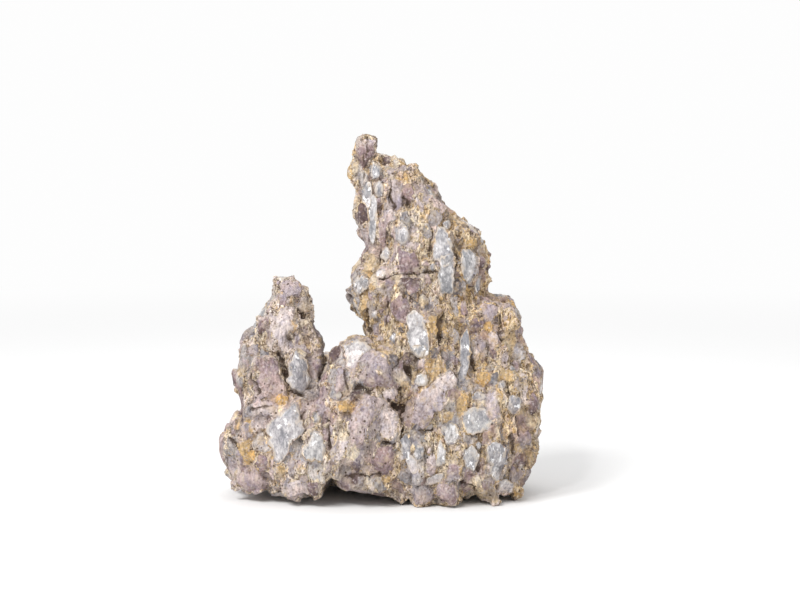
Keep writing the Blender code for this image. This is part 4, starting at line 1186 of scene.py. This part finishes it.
def join_patches(name, rows, smooth, grooved):
    """One object from many shapes, with the tint and the distance to the rim of each point."""
    points, faces, tints, borders = [], [], [], []
    chooser = random.Random(SEED + len(rows))
    first = 0
    for shape, upper, lower in rows:
        patch = patch_of(shape, grooved)
        points.append(patch["points"])
        faces.extend(tuple(first + corner for corner in face) for face in patch["faces"])
        warmth = np.array([chooser.uniform(-0.02, 0.03), 0, chooser.uniform(-0.03, 0.02)])
        shade = chooser.uniform(0.88, 1.1)
        tints.append(tints_between(upper, lower, 0.5 - patch["height"] * 0.75) * shade * (1 + warmth))
        borders.append(patch["border"])
        first += len(patch["points"])
    mesh = bpy.data.meshes.new(name)
    places = kept_in_box(np.concatenate(points))
    mesh.from_pydata((places * MM).tolist(), [], faces)
    mesh.update()
    if smooth:
        mesh.shade_smooth()
    else:
        mesh.shade_flat()
    add_tint(mesh, "tint", np.concatenate(tints))
    add_tint(mesh, "grit", grit_tints(places))
    add_number(mesh, "border", np.concatenate(borders))
    return add_to_scene(name, mesh)


glassy = join_patches("stone_quartz", [row for row in pieces if row[1] in GLASSY], True, 0.2)
matt = join_patches("stone_fragments", [row for row in pieces if row[1] not in GLASSY], False, 0.3)
print("faces", len(glassy.data.polygons), "glassy and", len(matt.data.polygons), "matt")

# %% [markdown]
# ## Grains
# Between the fragments the rock is cemented grit. Thousands of small angular grains, each a twenty-sided pebble
# pulled out of shape, are half buried in the ground and joined into one piece.

# %% Strew the grains
GRAIN_COUNT = 8000
GRAIN_TINTS = (
    ("tan", 22), ("cream", 20), ("grey", 12), ("rose", 9), ("mauve", 8), ("blush", 9), ("ice", 7),
    ("ochre", 10), ("amber", 3), ("slate", 3), ("plum", 4), ("blue", 5),
)


def twenty_sides():
    """The corners and faces of a regular twenty-sided solid."""
    long = (1 + math.sqrt(5)) / 2
    corners = [
        (-1, long, 0), (1, long, 0), (-1, -long, 0), (1, -long, 0), (0, -1, long), (0, 1, long),
        (0, -1, -long), (0, 1, -long), (long, 0, -1), (long, 0, 1), (-long, 0, -1), (-long, 0, 1),
    ]
    sides = [
        (0, 11, 5), (0, 5, 1), (0, 1, 7), (0, 7, 10), (0, 10, 11), (1, 5, 9), (5, 11, 4), (11, 10, 2),
        (10, 7, 6), (7, 1, 8), (3, 9, 4), (3, 4, 2), (3, 2, 6), (3, 6, 8), (3, 8, 9), (4, 9, 5),
        (2, 4, 11), (6, 2, 10), (8, 6, 7), (9, 8, 1),
    ]
    return np.array(corners) / math.hypot(1, long), np.array(sides)


def turns(chooser, count):
    """Random rotations as an array of matrices."""
    quaternions = chooser.normal(size=(count, 4))
    w, x, y, z = (quaternions / np.linalg.norm(quaternions, axis=1)[:, None]).T
    rows = (
        (1 - 2 * (y * y + z * z), 2 * (x * y - z * w), 2 * (x * z + y * w)),
        (2 * (x * y + z * w), 1 - 2 * (x * x + z * z), 2 * (y * z - x * w)),
        (2 * (x * z - y * w), 2 * (y * z + x * w), 1 - 2 * (x * x + y * y)),
    )
    return np.moveaxis(np.array(rows), 2, 0)


def strew_grains():
    """All the grains as one object."""
    chooser = np.random.default_rng(SEED)
    free = np.flatnonzero((inside < -0.9) & (sunk[:, 2] > 1.5) & (border < 0.8))
    spots = chooser.choice(free, GRAIN_COUNT, replace=False)
    corners, sides = twenty_sides()
    size = np.clip(chooser.lognormal(-0.7, 0.3, GRAIN_COUNT), 0.3, 0.95)
    stretch = np.stack([chooser.uniform(0.6, 1.1, GRAIN_COUNT) for _ in range(3)], axis=1)
    shapes = corners[None] * (1 + chooser.uniform(-0.2, 0.2, (GRAIN_COUNT, 12, 1)))
    shapes = shapes * (stretch * size[:, None])[:, None]
    shapes = np.einsum("nij,nkj->nki", turns(chooser, GRAIN_COUNT), shapes)
    shapes[:, :, 2] *= 1.25
    centres = sunk[spots] + facing[spots] * (size * chooser.uniform(-0.75, -0.1, GRAIN_COUNT))[:, None]
    points = kept_in_box((shapes + centres[:, None]).reshape(-1, 3))
    faces = (sides[None] + np.arange(GRAIN_COUNT)[:, None, None] * 12).reshape(-1, 3)
    names = [name for name, _ in GRAIN_TINTS]
    weights = np.array([weight for _, weight in GRAIN_TINTS], dtype=float)
    kinds = chooser.choice(len(names), GRAIN_COUNT, p=weights / weights.sum())
    tints = np.array([TINTS[name] for name in names])[kinds]
    tints = tints * 0.6 + grit[spots] * 0.4
    tints = tints * chooser.uniform(0.75, 1.15, (GRAIN_COUNT, 1))
    mesh = bpy.data.meshes.new("stone_grains")
    mesh.from_pydata((points * MM).tolist(), [], faces.tolist())
    mesh.update()
    add_tint(mesh, "tint", np.repeat(tints, 12, axis=0))
    return add_to_scene("stone_grains", mesh)


grains = strew_grains()
print(GRAIN_COUNT, "grains with", len(grains.data.polygons), "faces")

# %% [markdown]
# ## Finishes
# One finish serves the ground and the dull fragments. Inside a shard it shows the shard's tint, grooved and
# specked. Towards a ragged border it turns to grit: tinted by place, with grains and streaks. Painted shade makes
# it brown in the pores and pits, where the stone lies deep, and in the cracks round the fragments.

# %% Paint the ground and the dull fragments
def linked(tree, source, target):
    """Join two sockets."""
    tree.links.new(source, target)


def mixed_colour(tree, factor, first, second, blend="MIX"):
    """The colour socket of a mix of two colours, each a socket or four numbers."""
    node = add_node(tree, "ShaderNodeMix", data_type="RGBA", blend_type=blend)
    for socket, value in ((node.inputs[0], factor), (node.inputs[6], first), (node.inputs[7], second)):
        if isinstance(value, bpy.types.NodeSocket):
            tree.links.new(value, socket)
        elif isinstance(value, float):
            socket.default_value = value
        else:
            socket.default_value = (*value, 1) if len(value) == 3 else value
    return node.outputs[2]


def ramp(tree, source, stops, smooth="LINEAR"):
    """The colour socket of a ramp from (place, colour) stops."""
    node = add_node(tree, "ShaderNodeValToRGB")
    node.color_ramp.interpolation = smooth
    elements = node.color_ramp.elements
    while len(elements) < len(stops):
        elements.new(0.5)
    for element, (place, colour) in zip(elements, stops):
        element.position = place
        element.color = (*colour, 1)
    tree.links.new(source, node.inputs[0])
    return node.outputs[0]


def stretched(tree, scale):
    """Places in the stone, stretched by three numbers."""
    place = add_node(tree, "ShaderNodeTexCoord")
    mapping = add_node(tree, "ShaderNodeMapping")
    mapping.inputs["Scale"].default_value = scale
    tree.links.new(place.outputs["Object"], mapping.inputs["Vector"])
    return mapping.outputs[0]


def noise_of(tree, vector, scale, detail=4.0, roughness=0.6):
    """The value socket of a noise."""
    node = add_node(tree, "ShaderNodeTexNoise", Scale=scale, Detail=detail, Roughness=roughness)
    tree.links.new(vector, node.inputs["Vector"])
    return node.outputs[0]


def attribute_of(tree, name, output="Fac"):
    """A socket of what is kept with the points."""
    node = add_node(tree, "ShaderNodeAttribute", attribute_name=name)
    return node.outputs[output]


def spread(tree, source, low, high, to_low=0.0, to_high=1.0):
    """The socket of a value stretched from one span to another and kept inside it."""
    node = add_node(tree, "ShaderNodeMapRange")
    for label, value in (("From Min", low), ("From Max", high), ("To Min", to_low), ("To Max", to_high)):
        node.inputs[label].default_value = value
    tree.links.new(source, node.inputs["Value"])
    return node.outputs[0]


def maths(tree, operation, first, second):
    """The socket of a sum on two values, each a socket or a number."""
    node = add_node(tree, "ShaderNodeMath", operation=operation)
    for socket, value in zip(node.inputs, (first, second)):
        if isinstance(value, bpy.types.NodeSocket):
            tree.links.new(value, socket)
        else:
            socket.default_value = value
    return node.outputs[0]


def add_bump(tree, shader, height, strength, distance):
    """Let a height disturb the light on a shader."""
    node = add_node(tree, "ShaderNodeBump", Strength=strength, Distance=distance)
    tree.links.new(height, node.inputs["Height"])
    tree.links.new(node.outputs[0], shader.inputs["Normal"])


# Brown of painted shade, for pores, pits, hollows and cracks where shade falls.
SHADE_BROWN = (0.070, 0.042, 0.026)
STAIN = (0.20, 0.13, 0.075)


def pit_shade(tree, vector, scale, share):
    """The socket of painted shade for small round pits: full in the middle of some cells of a lattice, nothing
    elsewhere.
    """
    cells = add_node(tree, "ShaderNodeTexVoronoi", Scale=scale)
    tree.links.new(vector, cells.inputs["Vector"])
    lot = add_node(tree, "ShaderNodeSeparateColor")
    tree.links.new(cells.outputs["Color"], lot.inputs[0])
    chosen = maths(tree, "LESS_THAN", lot.outputs[2], share)
    return maths(tree, "MULTIPLY", chosen, spread(tree, cells.outputs["Distance"], 0.42, 0.26, 0.0, 0.9))


def grit_paint(tree, plain, upright):
    """Colour and height sockets of cemented grit: a broad tint with grains and streaks, and painted shade in its pores
    and pits.
    """
    cells = add_node(tree, "ShaderNodeTexVoronoi", Scale=560.0)
    tree.links.new(upright, cells.inputs["Vector"])
    lot = add_node(tree, "ShaderNodeSeparateColor")
    tree.links.new(cells.outputs["Color"], lot.inputs[0])
    grain = ramp(tree, lot.outputs[0], (
        (0.0, STAIN), (0.12, TINTS["tan"]), (0.26, TINTS["cream"]), (0.48, TINTS["grey"]), (0.58, TINTS["lilac"]),
        (0.66, TINTS["blush"]), (0.78, TINTS["ochre"]), (0.88, TINTS["mauve"]), (0.93, TINTS["quartz"]),
    ), "CONSTANT")
    colour = mixed_colour(tree, 0.55, attribute_of(tree, "grit", "Color"), grain)
    fine = noise_of(tree, upright, 600.0, 3.0, 0.75)
    colour = mixed_colour(tree, 1.0, colour, ramp(tree, fine, (
        (0.38, (0.34, 0.29, 0.25)), (0.48, (1.02, 1.0, 0.98)), (0.60, (1.44, 1.45, 1.46)),
    )), "MULTIPLY")
    bands = noise_of(tree, stretched(tree, (1.0, 1.0, 0.22)), 140.0, 3.0, 0.5)
    colour = mixed_colour(tree, 1.0, colour, ramp(tree, bands, (
        (0.36, (0.74, 0.70, 0.66)), (0.5, (1.0, 1.0, 1.0)), (0.64, (1.14, 1.12, 1.10)),
    )), "MULTIPLY")
    streaks = noise_of(tree, stretched(tree, (1.0, 1.0, 0.3)), 330.0, 4.0, 0.65)
    # Painted shade: brown in the pores along the low streaks.
    pore_shade = spread(tree, streaks, 0.39, 0.33, 0.0, 0.85)
    colour = mixed_colour(tree, pore_shade, colour, SHADE_BROWN)
    # Painted shade in small round pits of the grit.
    colour = mixed_colour(tree, pit_shade(tree, plain, 560.0, 0.20), colour, SHADE_BROWN)
    height = maths(tree, "ADD", maths(tree, "MULTIPLY", cells.outputs["Distance"], -0.6), fine)
    return colour, maths(tree, "ADD", height, streaks)


def shard_paint(tree, plain):
    """Colour and height sockets of a dull shard: its tint with upright grooves, clouds, specks and a few small pits of
    painted shade.
    """
    tint = attribute_of(tree, "tint", "Color")
    grooves = noise_of(tree, stretched(tree, (1.0, 1.0, 0.3)), 430.0, 5.0, 0.62)
    colour = mixed_colour(tree, 0.9, tint, ramp(tree, grooves, (
        (0.3, (0.52, 0.48, 0.47)), (0.5, (1.0, 1.0, 1.0)), (0.7, (1.36, 1.36, 1.34)),
    )), "MULTIPLY")
    fine = noise_of(tree, plain, 600.0, 3.0, 0.7)
    colour = mixed_colour(tree, 0.5, colour, ramp(tree, fine, (
        (0.38, (0.58, 0.55, 0.53)), (0.5, (1.0, 1.0, 1.0)), (0.60, (1.36, 1.36, 1.34)),
    )), "MULTIPLY")
    hue = noise_of(tree, stretched(tree, (1.0, 1.0, 0.5)), 210.0, 4.0, 0.6)
    colour = mixed_colour(tree, 1.0, colour, ramp(tree, hue, (
        (0.34, (0.80, 0.82, 0.95)), (0.5, (1.0, 0.99, 1.0)), (0.66, (1.22, 1.16, 1.12)),
    )), "MULTIPLY")
    clouds = spread(tree, noise_of(tree, plain, 170.0, 5.0), 0.52, 0.66, 0.0, 0.6)
    colour = mixed_colour(tree, clouds, colour, attribute_of(tree, "grit", "Color"))
    specks = add_node(tree, "ShaderNodeTexVoronoi", Scale=800.0)
    tree.links.new(plain, specks.inputs["Vector"])
    lot = add_node(tree, "ShaderNodeSeparateColor")
    tree.links.new(specks.outputs["Color"], lot.inputs[0])
    pale = maths(tree, "MULTIPLY", spread(tree, lot.outputs[0], 0.84, 0.9), 0.45)
    colour = mixed_colour(tree, pale, colour, TINTS["blush"])
    dark = maths(tree, "MULTIPLY", spread(tree, lot.outputs[1], 0.88, 0.93), 0.5)
    colour = mixed_colour(tree, dark, colour, STAIN)
    # Painted shade in a few small round pits of the shard.
    colour = mixed_colour(tree, pit_shade(tree, plain, 420.0, 0.05), colour, SHADE_BROWN)
    return colour, maths(tree, "ADD", grooves, maths(tree, "MULTIPLY", fine, 0.8))


def cover_of(tree, plain, start):
    """How much of a shard is free of grit: all inside, nothing at its ragged border."""
    ragged = spread(tree, noise_of(tree, plain, 330.0, 5.0, 0.7), 0.3, 0.7, 0.0, 1.9)
    seam = spread(tree, noise_of(tree, plain, 60.0, 2.0), 0.38, 0.62, -1.9, 1.4)
    margin = maths(tree, "SUBTRACT", attribute_of(tree, "border"), maths(tree, "ADD", ragged, seam))
    return spread(tree, margin, start - 1.3, start - 0.9)


def rock_material():
    """Dull shards with grit between them and painted shade in hollows, cracks and pits, for the ground and for the
    fragments that stand out of it.
    """
    material, tree, shader = new_material("breccia")
    shader.inputs["Specular IOR Level"].default_value = 0.45
    upright = stretched(tree, (1.0, 1.0, 0.55))
    plain = stretched(tree, (1.0, 1.0, 1.0))
    grit_colour, grit_height = grit_paint(tree, plain, upright)
    shard_colour, shard_height = shard_paint(tree, plain)
    cover = cover_of(tree, plain, 0.5)
    colour = mixed_colour(tree, cover, grit_colour, shard_colour)
    # Painted shade: brown where the stone lies deep in a hollow, along the cracks and creases, and in the pits.
    deep = spread(tree, attribute_of(tree, "hollow"), 1.0, 5.0, 0.0, 0.55)
    crack = spread(tree, attribute_of(tree, "crack"), 0.3, 0.9)
    broken_up = spread(tree, noise_of(tree, plain, 160.0), 0.42, 0.6, 0.0, 0.85)
    dark = maths(tree, "MAXIMUM", maths(tree, "MULTIPLY", crack, broken_up), deep)
    solid = spread(tree, attribute_of(tree, "crack"), 1.1, 1.7, 0.0, 0.92)
    dark = maths(tree, "MAXIMUM", dark, solid)
    dark = maths(tree, "MAXIMUM", dark, maths(tree, "MULTIPLY", attribute_of(tree, "pit"), 0.75))
    colour = mixed_colour(tree, dark, colour, SHADE_BROWN)
    tree.links.new(colour, shader.inputs["Base Color"])
    glassy_part = maths(tree, "MULTIPLY", cover, attribute_of(tree, "gloss"))
    tree.links.new(spread(tree, glassy_part, 0.0, 1.0, 0.78, 0.26), shader.inputs["Roughness"])
    height = add_node(tree, "ShaderNodeMix", data_type="FLOAT")
    tree.links.new(cover, height.inputs[0])
    tree.links.new(grit_height, height.inputs[2])
    tree.links.new(shard_height, height.inputs[3])
    add_bump(tree, shader, height.outputs[0], 1.0, 0.0022)
    return material


ground_numbers = {"hollow": hollow, "pit": pit, "crack": cracks, "border": border, "gloss": gloss}
for name, values in ground_numbers.items():
    add_number(ground.data, name, values)
add_tint(ground.data, "tint", tint)
add_tint(ground.data, "grit", grit)
ground.data.shade_flat()
rock = rock_material()
ground.data.materials.append(rock)
matt.data.materials.append(rock)
print("hollow from", round(float(hollow.min()), 1), "to", round(float(hollow.max()), 1), "mm")

# %% [markdown]
# The quartz is cloudy, with upright streaks and painted white glints, and it shines. Its rim is covered by the same
# grit. The grains are dull and dusty.

# %% Paint the quartz and the grains
STAINED = (0.62, 0.53, 0.44)
CLOUD_WHITE = (0.72, 0.69, 0.69)
DEEP_GREY = (0.20, 0.20, 0.225)


def quartz_material():
    """Cloudy grey-blue quartz with upright streaks, painted white glints and thin stains."""
    material, tree, shader = new_material("cloudy_quartz")
    shader.inputs["IOR"].default_value = 1.54
    shader.inputs["Transmission Weight"].default_value = 0.12
    plain = stretched(tree, (1.0, 1.0, 0.6))
    tint = attribute_of(tree, "tint", "Color")
    clouds = noise_of(tree, plain, 150.0, 6.0, 0.68)
    colour = mixed_colour(tree, spread(tree, clouds, 0.50, 0.64, 0.0, 0.85), tint, CLOUD_WHITE)
    colour = mixed_colour(tree, spread(tree, clouds, 0.49, 0.36, 0.0, 0.8), colour, DEEP_GREY)
    streaks = noise_of(tree, stretched(tree, (1.0, 1.0, 0.4)), 420.0, 5.0, 0.7)
    colour = mixed_colour(tree, 0.8, colour, ramp(tree, streaks, (
        (0.3, (0.62, 0.61, 0.62)), (0.5, (1.0, 1.0, 1.0)), (0.7, (1.28, 1.27, 1.26)),
    )), "MULTIPLY")
    fine = noise_of(tree, plain, 600.0, 3.0, 0.7)
    colour = mixed_colour(tree, 0.4, colour, ramp(tree, fine, (
        (0.38, (0.60, 0.59, 0.60)), (0.5, (1.0, 1.0, 1.0)), (0.60, (1.34, 1.34, 1.34)),
    )), "MULTIPLY")
    # Painted highlights: small white glints on the quartz.
    painted_glints = spread(tree, noise_of(tree, plain, 240.0, 4.0, 0.6), 0.60, 0.625, 0.0, 0.9)
    colour = mixed_colour(tree, painted_glints, colour, (0.92, 0.91, 0.92))
    edge = spread(tree, attribute_of(tree, "border"), 0.3, 3.6, 0.20, 0.0)
    stained = maths(tree, "ADD", noise_of(tree, plain, 230.0, 6.0, 0.72), edge)
    colour = mixed_colour(tree, spread(tree, stained, 0.58, 0.68, 0.0, 0.75), colour, STAINED)
    grit_colour, grit_height = grit_paint(tree, plain, stretched(tree, (1.0, 1.0, 0.55)))
    cover = cover_of(tree, plain, 0.1)
    colour = mixed_colour(tree, cover, grit_colour, colour)
    tree.links.new(colour, shader.inputs["Base Color"])
    gloss = spread(tree, noise_of(tree, plain, 240.0), 0.35, 0.65, 0.05, 0.24)
    tree.links.new(maths(tree, "MAXIMUM", gloss, spread(tree, cover, 0.0, 1.0, 0.75, 0.0)), shader.inputs["Roughness"])
    height = add_node(tree, "ShaderNodeMix", data_type="FLOAT")
    tree.links.new(cover, height.inputs[0])
    tree.links.new(grit_height, height.inputs[2])
    waves_height = maths(tree, "ADD", clouds, maths(tree, "MULTIPLY", streaks, 0.4))
    tree.links.new(waves_height, height.inputs[3])
    add_bump(tree, shader, height.outputs[0], 0.7, 0.0015)
    return material


def grain_material():
    """Dull grains, each with its own tint and a dusty cover."""
    material, tree, shader = new_material("dull_grain")
    shader.inputs["Specular IOR Level"].default_value = 0.35
    shader.inputs["Roughness"].default_value = 0.7
    plain = stretched(tree, (1.0, 1.0, 1.0))
    tint = attribute_of(tree, "tint", "Color")
    dust = noise_of(tree, plain, 700.0, 4.0)
    colour = mixed_colour(tree, spread(tree, dust, 0.4, 0.65, 0.0, 0.5), tint, TINTS["tan"])
    tree.links.new(colour, shader.inputs["Base Color"])
    add_bump(tree, shader, dust, 0.4, 0.0005)
    return material


glassy.data.materials.append(quartz_material())
grains.data.materials.append(grain_material())

# %% [markdown]
# ## Attaching the pieces
# The pieces ride on the stone's frame, and the fine ground takes the plain solid's place.

# %% Attach the pieces
for piece in (ground, matt, glassy, grains):
    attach(piece, "root")
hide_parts("ibigawa_rock")
